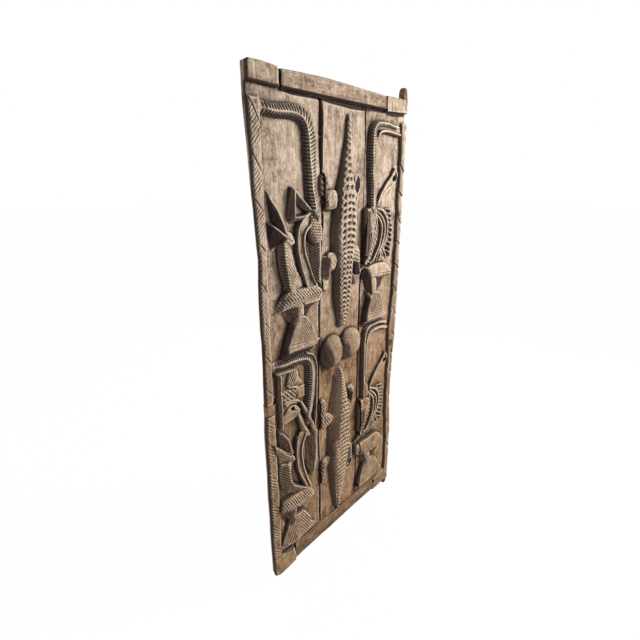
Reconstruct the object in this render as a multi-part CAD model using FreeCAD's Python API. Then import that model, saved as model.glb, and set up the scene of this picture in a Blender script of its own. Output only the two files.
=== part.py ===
import FreeCAD, Part
import math
import os
from FreeCAD import Vector

# A tall carved door leaf of three hewn planks, in millimetres. It turns on two wooden pivots that are
# cut from its right plank. The origin is where the lower pivot leaves the foot of the door, on the
# pivots' common axis. X runs to the right seen from the front, the carved front looks towards -Y, and
# Z runs up.

# The leaf and its planks
door_height = 1900.0
left_plank_width = 300.0
centre_plank_width = 260.0
right_plank_width = 278.0
plank_thickness = 22.0
seam_gap = 1.0
left_seam_lean = 20.0
right_seam_lean = 9.0

# Pivots of the right plank
pivot_diameter = 34.0
upper_pivot_length = 46.0
lower_pivot_length = 36.0
pivot_tip_round = 7.0

# Raised end blocks of the outer planks, and the battens that fill the places between them
batten_thickness = 14.0
batten_end_gap = 4.0
top_batten_end_height = 51.0
top_batten_sag = 10.0
bottom_batten_left_height = 87.0
bottom_batten_right_height = 66.0
batten_bevel = 5.0
top_left_block_width = 121.0
top_right_block_width = 152.0
bottom_left_block_width = 122.0
bottom_right_block_width = 138.0

# Raised side borders
left_border_width = 46.0
left_border_rise = 11.0
left_border_bevel = 9.0
right_border_width = 34.0
right_border_rise = 14.0
border_end_inset = 36.0

# Iron nails of the battens
nail_shank_diameter = 4.6
nail_head_diameter = 10.0
nail_head_thickness = 2.2
nail_length = 32.0
nail_clearance = 0.15
top_nail_shares = (0.196, 0.319, 0.411, 0.649, 0.786)
bottom_nail_shares = (0.205, 0.322, 0.425, 0.625, 0.79)

# Hidden wooden dowels in the two seams
dowel_diameter = 9.0
dowel_length = 60.0
dowel_clearance = 0.1
dowel_height_shares = (0.1, 0.37, 0.64, 0.91)

# The wooden patch let into the left edge, and its peg
patch_width = 46.0
patch_height = 44.0
patch_clearance = 0.15
patch_centre_share = 0.4184
patch_peg_diameter = 7.0
patch_peg_length = 70.0

# How far the carving stands above the ground of the planks
horn_rise = 25.0
head_rise = 30.0
strap_rise = 27.0
blade_rise = 26.0
calf_rise = 28.0
body_rise = 30.0
leg_rise = 22.0
base_rise = 26.0
plaque_rise = 24.0
strand_rise = 20.0
crocodile_rise = 32.0
limb_rise = 24.0
breast_rise = 44.0

# Sizes of the carving that aren't set by its outlines
horn_width = 18.0
horn_corner_radius = 42.0
strap_width = 36.0
strand_width = 15.0
breast_radius = 62.0
carving_root = 3.0
cut_overrun = 1.0

# Left plank: places are shares of the plank's width from its left edge and of the door's height
upper_left_horn_shares = (
    ((0.14, 0.9466), (0.86, 0.9476), (0.905, 0.775)),
    ((0.14, 0.9331), (0.772, 0.9341), (0.835, 0.775)),
)
lower_left_horn_shares = (
    ((0.14, 0.5135), (0.835, 0.5026), (0.86, 0.322)),
    ((0.15, 0.5005), (0.758, 0.4885), (0.74, 0.322)),
)
upper_left_strap_shares = (
    (0.726, 0.7704), (0.63, 0.7486), (0.617, 0.7174), (0.66, 0.6837), (0.772, 0.6439),
)
lower_left_strap_shares = (
    (0.581, 0.3293), (0.489, 0.2971), (0.476, 0.2608), (0.515, 0.2245), (0.647, 0.1862),
)
upper_left_figure_shares = {
    "ear": ((0.499, 0.8233), (0.449, 0.7641), (0.824, 0.7818)),
    "head": ((0.738, 0.7839), (0.85, 0.7902), (0.932, 0.7808), (0.968, 0.7513), (0.952, 0.7228),
             (0.932, 0.6866), (0.93, 0.6422), (0.893, 0.6422), (0.817, 0.6788), (0.761, 0.7099),
             (0.755, 0.7384), (0.699, 0.7669)),
    "upper blade": ((0.154, 0.816), (0.285, 0.7859), (0.423, 0.7486), (0.344, 0.7413), (0.219, 0.7745)),
    "lower blade": ((0.144, 0.7724), (0.39, 0.7434), (0.351, 0.734), (0.16, 0.7195)),
    "calf head": ((0.344, 0.7413), (0.43, 0.7537), (0.489, 0.7444), (0.528, 0.733), (0.509, 0.7268),
                  (0.423, 0.7237), (0.331, 0.7309)),
    "calf neck": ((0.318, 0.734), (0.449, 0.7278), (0.495, 0.7019), (0.574, 0.6738), (0.726, 0.6439),
                  (0.371, 0.6439), (0.331, 0.6863)),
    "body": ((0.135, 0.6079), (0.227, 0.6322), (0.358, 0.6462), (0.614, 0.6488), (0.915, 0.6441),
             (0.925, 0.6193), (0.614, 0.6193), (0.45, 0.6213), (0.269, 0.6141)),
    "fore leg": ((0.402, 0.6217), (0.634, 0.6217), (0.64, 0.5873), (0.501, 0.5852)),
    "hind leg": ((0.819, 0.6217), (0.925, 0.6217), (0.865, 0.5852), (0.739, 0.5852)),
    "base": ((0.462, 0.5934), (0.739, 0.5934), (0.831, 0.5664), (0.904, 0.5373), (0.91, 0.5217),
             (0.324, 0.5217), (0.324, 0.5363), (0.383, 0.5622)),
}
upper_left_ear_hole_shares = ((0.558, 0.8119), (0.558, 0.7729), (0.745, 0.7818))
lower_left_figure_shares = {
    "plaque": ((0.205, 0.4912), (0.489, 0.4868), (0.634, 0.4458), (0.627, 0.426), (0.515, 0.399),
               (0.522, 0.3761), (0.225, 0.3709), (0.205, 0.3844)),
    "ear": ((0.528, 0.4071), (0.456, 0.3283), (0.752, 0.321)),
    "head": ((0.706, 0.3283), (0.824, 0.3262), (0.857, 0.2816), (0.785, 0.2401), (0.726, 0.2048),
             (0.693, 0.2401), (0.634, 0.2816), (0.64, 0.3179)),
    "upper blade": ((0.18, 0.375), (0.298, 0.3397), (0.423, 0.2982), (0.351, 0.2899), (0.239, 0.3283)),
    "lower blade": ((0.121, 0.3262), (0.384, 0.2961), (0.351, 0.2868), (0.16, 0.2712)),
    "calf head": ((0.351, 0.3023), (0.403, 0.3054), (0.423, 0.2919), (0.397, 0.2785), (0.331, 0.2785)),
    "calf neck": ((0.279, 0.2857), (0.384, 0.2816), (0.364, 0.2452), (0.456, 0.2089), (0.637, 0.1821),
                  (0.279, 0.1821), (0.252, 0.2349)),
    "body": ((0.102, 0.1626), (0.161, 0.1843), (0.319, 0.1921), (0.673, 0.1895), (0.738, 0.1688),
             (0.738, 0.1532), (0.384, 0.1563), (0.187, 0.1532)),
    "fore leg": ((0.26, 0.1579), (0.409, 0.1579), (0.402, 0.1278), (0.31, 0.1257)),
    "hind leg": ((0.594, 0.1559), (0.723, 0.1548), (0.657, 0.1257), (0.541, 0.1257)),
    "base": ((0.285, 0.1338), (0.555, 0.1349), (0.667, 0.1037), (0.752, 0.0714), (0.759, 0.0589),
             (0.16, 0.061), (0.16, 0.0725), (0.2, 0.1037)),
}

# Centre plank: sections down each crocodile, from its upper tip, as (height, left foot, left crest,
# right crest, right foot, rise), where the rise is a share of the crocodiles' full rise
upper_crocodile_shares = (
    (0.9535, 0.565, 0.575, 0.616, 0.626, 0.19), (0.921, 0.554, 0.56, 0.67, 0.68, 0.31),
    (0.8955, 0.504, 0.53, 0.665, 0.69, 0.47), (0.87, 0.446, 0.496, 0.625, 0.67, 0.69),
    (0.8445, 0.39, 0.458, 0.61, 0.67, 0.78), (0.818, 0.35, 0.423, 0.638, 0.71, 0.81),
    (0.792, 0.335, 0.4, 0.67, 0.74, 0.84), (0.7655, 0.281, 0.361, 0.677, 0.75, 0.94),
    (0.7395, 0.258, 0.342, 0.68, 0.76, 1.0), (0.7135, 0.25, 0.342, 0.677, 0.76, 1.0),
    (0.6875, 0.262, 0.373, 0.638, 0.74, 1.0), (0.6615, 0.258, 0.396, 0.615, 0.73, 0.94),
    (0.635, 0.25, 0.404, 0.615, 0.72, 0.94), (0.609, 0.273, 0.369, 0.63, 0.7, 0.88),
    (0.582, 0.328, 0.438, 0.596, 0.66, 0.78), (0.556, 0.383, 0.485, 0.554, 0.6, 0.63),
    (0.5425, 0.445, 0.477, 0.535, 0.56, 0.44),
)
lower_crocodile_shares = (
    (0.45, 0.385, 0.39, 0.415, 0.42, 0.25), (0.4375, 0.345, 0.4, 0.475, 0.49, 0.38),
    (0.4215, 0.3, 0.393, 0.485, 0.52, 0.53), (0.4005, 0.25, 0.36, 0.5, 0.56, 0.66),
    (0.3745, 0.21, 0.326, 0.5, 0.585, 0.78), (0.349, 0.168, 0.301, 0.514, 0.61, 0.88),
    (0.323, 0.143, 0.286, 0.567, 0.66, 0.88), (0.297, 0.155, 0.241, 0.59, 0.68, 0.88),
    (0.245, 0.16, 0.203, 0.59, 0.68, 0.88), (0.219, 0.155, 0.218, 0.582, 0.67, 0.88),
    (0.193, 0.18, 0.256, 0.544, 0.63, 0.81), (0.1675, 0.228, 0.3, 0.468, 0.56, 0.75),
    (0.141, 0.26, 0.337, 0.435, 0.51, 0.66), (0.115, 0.297, 0.358, 0.41, 0.46, 0.53),
    (0.0895, 0.327, 0.385, 0.408, 0.44, 0.38), (0.065, 0.357, 0.375, 0.39, 0.4, 0.25),
)
crocodile_limb_shares = {
    "upper left hind thigh": ((0.345, 0.8133), (0.125, 0.8149), (0.053, 0.8055), (0.053, 0.7847),
                              (0.144, 0.7784), (0.31, 0.7847)),
    "upper left hind foot": ((0.02, 0.842), (0.088, 0.8472), (0.139, 0.8342), (0.139, 0.8103),
                             (0.053, 0.8025), (0.022, 0.8212)),
    "upper right hind thigh": ((0.612, 0.8191), (0.773, 0.8107), (0.83, 0.7977), (0.792, 0.7847),
                               (0.638, 0.7821)),
    "upper right hind foot": ((0.716, 0.8483), (0.849, 0.8472), (0.887, 0.8264), (0.868, 0.8055),
                              (0.782, 0.7953), (0.799, 0.842)),
    "upper left fore arm": ((0.33, 0.699), (0.174, 0.7006), (0.105, 0.6912), (0.105, 0.6502),
                            (0.204, 0.6502), (0.227, 0.6678), (0.33, 0.6694)),
    "upper left fore foot": ((0.022, 0.6522), (0.136, 0.6548), (0.117, 0.6288), (0.03, 0.6257),
                             (0.018, 0.6366)),
    "upper right fore arm": ((0.572, 0.699), (0.725, 0.7094), (0.82, 0.7042), (0.842, 0.686),
                             (0.835, 0.6366), (0.766, 0.634), (0.759, 0.6808), (0.581, 0.6808)),
    "upper right fore foot": ((0.725, 0.6548), (0.877, 0.6522), (0.888, 0.6366), (0.82, 0.6257),
                              (0.725, 0.6288)),
    "lower left fore limb": ((0.02, 0.3757), (0.088, 0.3793), (0.118, 0.347), (0.165, 0.3314),
                             (0.29, 0.3288), (0.29, 0.3106), (0.118, 0.3064), (0.05, 0.3158),
                             (0.022, 0.3418)),
    "lower right fore limb": ((0.639, 0.3793), (0.754, 0.3793), (0.807, 0.3627), (0.792, 0.334),
                              (0.716, 0.321), (0.52, 0.308), (0.5, 0.3314), (0.685, 0.3418),
                              (0.7, 0.3679)),
    "lower left hind limb": ((0.022, 0.1699), (0.08, 0.1647), (0.118, 0.19), (0.118, 0.205),
                             (0.24, 0.209), (0.24, 0.2272), (0.1, 0.2272), (0.022, 0.2168)),
    "lower right hind limb": ((0.56, 0.2272), (0.716, 0.2194), (0.761, 0.2064), (0.761, 0.1699),
                              (0.697, 0.1584), (0.601, 0.1605), (0.685, 0.1699), (0.685, 0.2012),
                              (0.55, 0.209)),
}
breast_shares = ((0.24, 0.488), (0.68, 0.488))

# Right plank, measured like the left one
upper_right_horn_shares = (
    ((0.87, 0.9419), (0.06, 0.9409), (0.096, 0.7745)),
    ((0.87, 0.9279), (0.178, 0.9279), (0.184, 0.7745)),
)
lower_right_horn_shares = (
    ((0.87, 0.5068), (0.06, 0.5079), (0.056, 0.325)),
    ((0.87, 0.4917), (0.165, 0.4923), (0.144, 0.325)),
)
upper_right_strand_shares = (
    ((0.268, 0.7715), (0.239, 0.7376), (0.159, 0.6958), (0.03, 0.6599)),
    ((0.311, 0.7679), (0.375, 0.7376), (0.325, 0.7011), (0.175, 0.6566)),
    ((0.368, 0.7742), (0.468, 0.7428), (0.439, 0.7063), (0.325, 0.6577)),
    ((0.418, 0.7783), (0.56, 0.7533), (0.568, 0.7167), (0.46, 0.662)),
)
lower_right_strand_shares = (
    ((0.246, 0.32), (0.218, 0.2886), (0.128, 0.2416), (0.04, 0.2009)),
    ((0.293, 0.32), (0.353, 0.2886), (0.303, 0.2521), (0.161, 0.2)),
    ((0.353, 0.3231), (0.453, 0.2938), (0.418, 0.2573), (0.311, 0.196)),
    ((0.418, 0.3262), (0.553, 0.2991), (0.553, 0.2625), (0.453, 0.19)),
)
upper_right_figure_shares = {
    "stick": ((0.183, 0.7941), (0.332, 0.8264), (0.617, 0.8586), (0.673, 0.842), (0.556, 0.8326),
              (0.396, 0.8108), (0.261, 0.7789)),
    "head": ((0.02, 0.7787), (0.208, 0.7827), (0.264, 0.7789), (0.244, 0.7589), (0.208, 0.7278),
             (0.13, 0.6915), (0.059, 0.6785), (0.02, 0.6785)),
    "body": ((0.02, 0.6566), (0.063, 0.6617), (0.41, 0.6607), (0.559, 0.6483), (0.651, 0.6286),
             (0.552, 0.6307), (0.198, 0.6317), (0.056, 0.6327)),
    "fore leg": ((0.104, 0.6352), (0.293, 0.6352), (0.293, 0.5904), (0.196, 0.5904)),
    "hind leg": ((0.503, 0.6332), (0.639, 0.6311), (0.518, 0.5894), (0.418, 0.5894)),
    "base": ((0.155, 0.5945), (0.432, 0.5945), (0.531, 0.5664), (0.609, 0.5378), (0.617, 0.5222),
             (0.041, 0.5222), (0.041, 0.5378), (0.098, 0.5664)),
}
lower_right_figure_shares = {
    "stick": ((0.14, 0.3574), (0.432, 0.3896), (0.638, 0.4146), (0.645, 0.3974), (0.432, 0.3714),
              (0.247, 0.3254)),
    "head": ((0.02, 0.3309), (0.173, 0.3329), (0.257, 0.3279), (0.194, 0.3023), (0.137, 0.2608),
             (0.066, 0.2349), (0.02, 0.2349)),
    "body": ((0.02, 0.2009), (0.063, 0.204), (0.41, 0.1957), (0.559, 0.1802), (0.64, 0.161),
             (0.552, 0.1574), (0.198, 0.1636), (0.056, 0.1688)),
    "fore leg": ((0.079, 0.1701), (0.282, 0.1655), (0.282, 0.1278), (0.175, 0.1278)),
    "hind leg": ((0.496, 0.1605), (0.625, 0.1589), (0.496, 0.1247), (0.403, 0.1247)),
    "base": ((0.148, 0.1328), (0.41, 0.1328), (0.51, 0.1037), (0.602, 0.0714), (0.609, 0.0558),
             (0.03, 0.0579), (0.03, 0.0714), (0.082, 0.1037)),
}

figure_rises = {
    "ear": blade_rise,
    "head": head_rise,
    "upper blade": blade_rise,
    "lower blade": blade_rise,
    "calf head": calf_rise,
    "calf neck": calf_rise,
    "body": body_rise,
    "fore leg": leg_rise,
    "hind leg": leg_rise,
    "base": base_rise,
    "plaque": plaque_rise,
    "stick": calf_rise,
}

# Places that follow from the sizes above
half = 0.5
door_width = left_plank_width + centre_plank_width + right_plank_width + 2 * seam_gap
pivot_radius = half * pivot_diameter
right_edge_x = pivot_radius
left_edge_x = right_edge_x - door_width
block_front_y = -pivot_radius
ground_y = block_front_y + batten_thickness
back_y = ground_y + plank_thickness
left_seam_x = left_edge_x + left_plank_width + half * seam_gap
right_seam_x = right_edge_x - right_plank_width - half * seam_gap
border_foot_z = bottom_batten_right_height
border_head_z = door_height - top_batten_end_height - border_end_inset
out_of_front = Vector(0, -1, 0)


class Plank:
    """One hewn plank: its leaning sides, and the frame that its carving is drawn in."""

    def __init__(self, left_x, width, left_lean, right_lean):
        self.left_x = left_x
        self.width = width
        self.left_lean = half * left_lean
        self.right_lean = half * right_lean

    def at(self, width_share, height_share, y=ground_y):
        """The point at a share of the plank's width and of the door's height."""
        return Vector(self.left_x + width_share * self.width, y, height_share * door_height)

    def board(self):
        """The plank's flat board, from its back to the ground of its carving."""
        right_x = self.left_x + self.width
        corners = (
            Vector(self.left_x - self.left_lean, back_y, 0),
            Vector(right_x - self.right_lean, back_y, 0),
            Vector(right_x + self.right_lean, back_y, door_height),
            Vector(self.left_x + self.left_lean, back_y, door_height),
        )
        return prism(corners, plank_thickness)


def closed_wire(points):
    """A closed polygon through the points."""
    return Part.makePolygon(list(points) + [points[0]])


def prism(points, depth):
    """The polygon through the points, pushed out of the front by a depth."""
    return Part.Face(closed_wire(points)).extrude(out_of_front * depth)


def carved(plank, outline_shares, rise):
    """A raised carving with upright walls, rooted in the plank under it."""
    root_y = ground_y + carving_root
    points = [plank.at(along, up, root_y) for along, up in outline_shares]
    return prism(points, rise + carving_root)


def box(low_x, high_x, low_y, high_y, low_z, high_z):
    """A block between two corners."""
    corner = Vector(low_x, low_y, low_z)
    return Part.makeBox(high_x - low_x, high_y - low_y, high_z - low_z, corner)


def rounded_path(start, corner, end, radius):
    """Two straight runs joined by an arc that is tangent to both."""
    back_way = (start - corner).normalize()
    on_way = (end - corner).normalize()
    opening = back_way.getAngle(on_way)
    reach = radius / math.tan(half * opening)
    into = corner + back_way * reach
    out_of = corner + on_way * reach
    bisector = (back_way + on_way).normalize()
    middle = corner + bisector * (radius / math.sin(half * opening) - radius)
    runs = (
        Part.LineSegment(start, into),
        Part.Arc(into, middle, out_of),
        Part.LineSegment(out_of, end),
    )
    return Part.Wire([run.toShape() for run in runs])


def ridge(path, width, rise):
    """A raised band of one width along a path that lies in the ground, with round ends."""
    face = path.makeOffset2D(half * width, 0, True, False, False)
    face.translate(-out_of_front * carving_root)
    return face.extrude(out_of_front * (rise + carving_root))


def horn(plank, path_shares):
    """One ribbed horn: along the top of the panel, round its corner and down to the head."""
    start, corner, end = [plank.at(along, up) for along, up in path_shares]
    return ridge(rounded_path(start, corner, end, horn_corner_radius), horn_width, horn_rise)


def bent_band(plank, path_shares, width, rise):
    """A raised band that follows a smooth curve through a few points."""
    curve = Part.BSplineCurve()
    curve.interpolate([plank.at(along, up) for along, up in path_shares])
    arcs = curve.toBiArcs(cut_overrun)
    path = Part.Wire([arc.toShape() for arc in arcs])
    return ridge(path, width, rise)


def figures(plank, outline_table):
    """The flat topped carvings of one panel."""
    return [carved(plank, outline, figure_rises[name]) for name, outline in outline_table.items()]


def crocodile(plank, section_table):
    """A long body with sloping flanks, lofted through sections that follow its taper."""
    root_y = ground_y + carving_root
    sections = []
    for up, left_foot, left_crest, right_crest, right_foot, rise_share in section_table:
        crest_y = ground_y - rise_share * crocodile_rise
        sections.append(closed_wire((
            plank.at(left_foot, up, root_y),
            plank.at(left_crest, up, crest_y),
            plank.at(right_crest, up, crest_y),
            plank.at(right_foot, up, root_y),
        )))
    return Part.makeLoft(sections, True, True)


def breast(plank, width_share, height_share):
    """A low dome: the cap of a ball, cut off under the ground."""
    centre = plank.at(width_share, height_share)
    ball_radius = half * (breast_radius ** 2 + breast_rise ** 2) / breast_rise
    ball_centre = centre + out_of_front * (breast_rise - ball_radius)
    reach = 2 * ball_radius
    keep = box(centre.x - reach, centre.x + reach, ground_y - reach, ground_y + carving_root,
               centre.z - reach, centre.z + reach)
    return Part.makeSphere(ball_radius, ball_centre).common(keep)


def end_block(low_x, high_x, low_z, high_z):
    """A block left standing at a plank's end, as thick as the batten beside it."""
    return box(low_x, high_x, block_front_y, ground_y + carving_root, low_z, high_z)


def border(outer_x, width, rise, bevel):
    """A raised border down one side. A width below zero runs to the left of the outer edge."""
    side = math.copysign(1, width)
    profile = (
        Vector(outer_x, ground_y + carving_root, border_foot_z),
        Vector(outer_x, ground_y + bevel - rise, border_foot_z),
        Vector(outer_x + side * bevel, ground_y - rise, border_foot_z),
        Vector(outer_x + width, ground_y - rise, border_foot_z),
        Vector(outer_x + width, ground_y + carving_root, border_foot_z),
    )
    return Part.Face(closed_wire(profile)).extrude(Vector(0, 0, border_head_z - border_foot_z))


def pivot(base_z, length, direction):
    """A round pivot that leaves the plank at base_z, with a worn and rounded tip."""
    axis = Vector(0, 0, direction)
    inside = Vector(0, 0, base_z) - axis * pivot_diameter
    pin = Part.makeCylinder(pivot_radius, length + pivot_diameter, inside, axis)
    tip_z = base_z + direction * length
    tip_edges = [edge for edge in pin.Edges if abs(edge.CenterOfMass.z - tip_z) < carving_root
                 and edge.Closed]
    return pin.makeFillet(pivot_tip_round, tip_edges)


def nail_places(share_table, height):
    """Where the nails of one batten stand."""
    return [Vector(left_edge_x + share * door_width, block_front_y, height) for share in share_table]


def nail(place, clearance=0.0):
    """A forged nail with a flat round head. With a clearance it is the hole that the nail fills."""
    into = -out_of_front
    head_radius = half * nail_head_diameter + clearance
    shank_radius = half * nail_shank_diameter + clearance
    head = Part.makeCylinder(head_radius, nail_head_thickness, place, into)
    shank = Part.makeCylinder(shank_radius, nail_length + clearance, place, into)
    return head.fuse(shank)


def top_batten():
    """The upper batten, which sags towards its middle, with a bevelled lower edge."""
    low_z = door_height - top_batten_end_height
    low_x = left_edge_x + top_left_block_width + batten_end_gap
    high_x = right_edge_x - top_right_block_width - batten_end_gap
    middle = Vector(half * (low_x + high_x), ground_y, low_z - top_batten_sag)
    left = Vector(low_x, ground_y, low_z)
    right = Vector(high_x, ground_y, low_z)
    lower_edge = Part.Arc(left, middle, right).toShape()
    rest = Part.makePolygon([right, Vector(high_x, ground_y, door_height),
                             Vector(low_x, ground_y, door_height), left])
    face = Part.Face(Part.Wire([lower_edge] + rest.Edges))
    batten = face.extrude(out_of_front * batten_thickness)
    front_edges = [edge for edge in batten.Edges
                   if abs(edge.CenterOfMass.y - block_front_y) < carving_root
                   and abs(edge.CenterOfMass.z - low_z) < top_batten_sag + carving_root
                   and edge.Length > top_batten_end_height + batten_thickness]
    return batten.makeChamfer(batten_bevel, front_edges)


def bottom_batten():
    """The lower batten, which grows narrower to the right, with a bevelled upper edge."""
    low_x = left_edge_x + bottom_left_block_width + batten_end_gap
    high_x = right_edge_x - bottom_right_block_width - batten_end_gap
    outline = (
        Vector(low_x, ground_y, 0),
        Vector(high_x, ground_y, 0),
        Vector(high_x, ground_y, bottom_batten_right_height),
        Vector(low_x, ground_y, bottom_batten_left_height),
    )
    batten = prism(outline, batten_thickness)
    mean_height = half * (bottom_batten_left_height + bottom_batten_right_height)
    front_edges = [edge for edge in batten.Edges
                   if abs(edge.CenterOfMass.y - block_front_y) < carving_root
                   and abs(edge.CenterOfMass.z - mean_height) < carving_root]
    return batten.makeChamfer(batten_bevel, front_edges)


def seam_dowels(seam_x, lean, clearance=0.0):
    """The loose dowels of one seam. With a clearance they are the bores that hold them."""
    length = dowel_length + 2 * clearance
    middle_y = half * (ground_y + back_y)
    dowels = []
    for share in dowel_height_shares:
        middle_x = seam_x + (share - half) * lean
        start = Vector(middle_x - half * length, middle_y, share * door_height)
        dowels.append(Part.makeCylinder(half * dowel_diameter + clearance, length, start, Vector(1, 0, 0)))
    return dowels


def edge_patch(clearance):
    """The patch in the left edge. A clearance below zero draws it in on its three glued sides."""
    centre_z = patch_centre_share * door_height
    half_height = half * patch_height + clearance
    profile = (
        Vector(left_edge_x, back_y, centre_z - half_height),
        Vector(left_edge_x, ground_y + left_border_bevel - left_border_rise, centre_z - half_height),
        Vector(left_edge_x + left_border_bevel, ground_y - left_border_rise, centre_z - half_height),
        Vector(left_edge_x + patch_width + clearance, ground_y - left_border_rise, centre_z - half_height),
        Vector(left_edge_x + patch_width + clearance, back_y, centre_z - half_height),
    )
    return Part.Face(closed_wire(profile)).extrude(Vector(0, 0, 2 * half_height))


def patch_peg(clearance=0.0):
    """The peg that pins the patch to the plank. With a clearance it is the peg's bore."""
    start = Vector(left_edge_x, half * (ground_y + back_y), patch_centre_share * door_height)
    return Part.makeCylinder(half * patch_peg_diameter + clearance, patch_peg_length + clearance,
                             start, Vector(1, 0, 0))


def fused(body, additions):
    """The body with everything that grows from it, as one solid."""
    return body.fuse(additions).removeSplitter()


def left_plank(plank):
    """The left plank with its two panels of a horned beast and its calf."""
    blocks = [
        end_block(left_edge_x, left_edge_x + top_left_block_width,
                  door_height - top_batten_end_height, door_height),
        end_block(left_edge_x, left_edge_x + bottom_left_block_width, 0, bottom_batten_left_height),
    ]
    side = border(left_edge_x, left_border_width, left_border_rise, left_border_bevel)
    horns = [horn(plank, path) for path in upper_left_horn_shares + lower_left_horn_shares]
    straps = [bent_band(plank, path, strap_width, strap_rise)
              for path in (upper_left_strap_shares, lower_left_strap_shares)]
    carvings = figures(plank, upper_left_figure_shares) + figures(plank, lower_left_figure_shares)
    whole = fused(plank.board(), blocks + [side] + horns + straps + carvings)
    hollow = carved(plank, upper_left_ear_hole_shares, blade_rise + cut_overrun)
    ground = plank.board()
    return whole.cut(hollow.cut(ground))


def centre_plank(plank):
    """The centre plank with two crocodiles and a pair of breasts between them."""
    bodies = [crocodile(plank, table) for table in (upper_crocodile_shares, lower_crocodile_shares)]
    limbs = [carved(plank, outline, limb_rise) for outline in crocodile_limb_shares.values()]
    breasts = [breast(plank, along, up) for along, up in breast_shares]
    return fused(plank.board(), bodies + limbs + breasts)


def right_plank(plank):
    """The right plank with its two panels of a horned beast, its border and both pivots."""
    blocks = [
        end_block(right_edge_x - top_right_block_width, right_edge_x,
                  door_height - top_batten_end_height, door_height),
        end_block(right_edge_x - bottom_right_block_width, right_edge_x, 0, bottom_batten_right_height),
    ]
    side = border(right_edge_x, -right_border_width, right_border_rise, 0)
    horns = [horn(plank, path) for path in upper_right_horn_shares + lower_right_horn_shares]
    strands = [bent_band(plank, path, strand_width, strand_rise)
               for path in upper_right_strand_shares + lower_right_strand_shares]
    carvings = figures(plank, upper_right_figure_shares) + figures(plank, lower_right_figure_shares)
    pivots = [pivot(door_height, upper_pivot_length, 1), pivot(0, lower_pivot_length, -1)]
    return fused(plank.board(), blocks + [side] + horns + strands + carvings + pivots)


def save(name, shape):
    """Write one named piece, or a group of like pieces, to its own file."""
    shape.exportStep(os.path.join("parts", name + ".step"))


def main():
    """Build every piece, cut what passes through it, and write the files."""
    os.makedirs("parts", exist_ok=True)
    planks = {
        "left_plank": Plank(left_edge_x, left_plank_width, 0, left_seam_lean),
        "centre_plank": Plank(left_seam_x + half * seam_gap, centre_plank_width,
                              left_seam_lean, right_seam_lean),
        "right_plank": Plank(right_seam_x + half * seam_gap, right_plank_width, right_seam_lean, 0),
    }
    pieces = {
        "left_plank": left_plank(planks["left_plank"]),
        "centre_plank": centre_plank(planks["centre_plank"]),
        "right_plank": right_plank(planks["right_plank"]),
        "top_batten": top_batten(),
        "bottom_batten": bottom_batten(),
    }

    top_nails = nail_places(top_nail_shares, door_height - half * top_batten_end_height)
    bottom_nails = nail_places(bottom_nail_shares, half * bottom_batten_right_height)
    nail_holes = [nail(place, nail_clearance) for place in top_nails + bottom_nails]
    left_bores = seam_dowels(left_seam_x, left_seam_lean, dowel_clearance)
    right_bores = seam_dowels(right_seam_x, right_seam_lean, dowel_clearance)
    patch_seat = edge_patch(0).fuse(patch_peg(patch_clearance))
    cuts = {
        "left_plank": nail_holes + left_bores + [patch_seat],
        "centre_plank": nail_holes + left_bores + right_bores,
        "right_plank": nail_holes + right_bores,
        "top_batten": nail_holes,
        "bottom_batten": nail_holes,
    }
    for name, tools in cuts.items():
        pieces[name] = pieces[name].cut(tools)

    pieces["top_batten_nails"] = Part.makeCompound([nail(place) for place in top_nails])
    pieces["bottom_batten_nails"] = Part.makeCompound([nail(place) for place in bottom_nails])
    pieces["left_seam_dowels"] = Part.makeCompound(seam_dowels(left_seam_x, left_seam_lean))
    pieces["right_seam_dowels"] = Part.makeCompound(seam_dowels(right_seam_x, right_seam_lean))
    pieces["edge_patch"] = edge_patch(-patch_clearance).cut(patch_peg(patch_clearance))
    pieces["edge_patch_peg"] = patch_peg()

    for name, shape in pieces.items():
        save(name, shape)
        print(name, "solids", len(shape.Solids), "valid", shape.isValid(), "volume", round(shape.Volume))


main()
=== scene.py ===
"""A tall carved granary door of three hewn planks, on two wooden pivots, dressed for the light.

Places on the door's front are in millimetres: x from the leaf's left edge, z up from its foot, and
rise out of the ground of the carving. Meshes are in metres in the part's own frame.
"""

import logging
import math
from dataclasses import dataclass, field
from enum import Enum
from functools import partial, partialmethod
from typing import Callable, Sequence

import bmesh
import bpy
import numpy as np
from bmesh.types import BMEdge, BMesh, BMVert
from mathutils import Matrix, Vector


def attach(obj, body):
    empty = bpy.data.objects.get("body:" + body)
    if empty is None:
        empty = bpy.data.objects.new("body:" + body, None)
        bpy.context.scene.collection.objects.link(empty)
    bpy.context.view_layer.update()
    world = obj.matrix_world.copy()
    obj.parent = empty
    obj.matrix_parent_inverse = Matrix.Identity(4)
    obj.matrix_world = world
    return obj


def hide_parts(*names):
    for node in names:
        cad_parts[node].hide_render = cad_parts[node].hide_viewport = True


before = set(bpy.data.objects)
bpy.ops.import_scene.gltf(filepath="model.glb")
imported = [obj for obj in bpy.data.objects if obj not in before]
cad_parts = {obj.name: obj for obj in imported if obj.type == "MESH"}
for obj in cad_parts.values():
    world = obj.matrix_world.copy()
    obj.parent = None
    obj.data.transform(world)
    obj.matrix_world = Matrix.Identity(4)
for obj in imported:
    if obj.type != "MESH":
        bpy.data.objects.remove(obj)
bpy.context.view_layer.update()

logging.basicConfig(level=logging.INFO, format="%(message)s")
log = logging.getLogger("granary_door")

Array = np.ndarray
Point = tuple[float, float]
Triple = tuple[float, float, float]
Colour = Triple
Path = Sequence[Point]
Window = tuple[slice, slice]
Edge = Callable[[Array], Array]
Face = Callable[[Array, Array], Array]

MM = 0.001
DOOR_WIDTH = 840.0
DOOR_HEIGHT = 1900.0
LEFT_EDGE_X = -823.0
GROUND_Y = -3.0
BACK_Y = 19.0
BLOCK_RISE = 14.0
EYE_X, EYE_Z = -783.0, 1580.0
EYE_DISTANCE = 991.0
# The marks that each point of a piece holds: painted shade and dirt in hollows, rubbed wear with a painted
# highlight, and painted shade with soot on faces turned from the light
SURFACE_MARKS = ("hollow", "rubbed", "stained")


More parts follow.
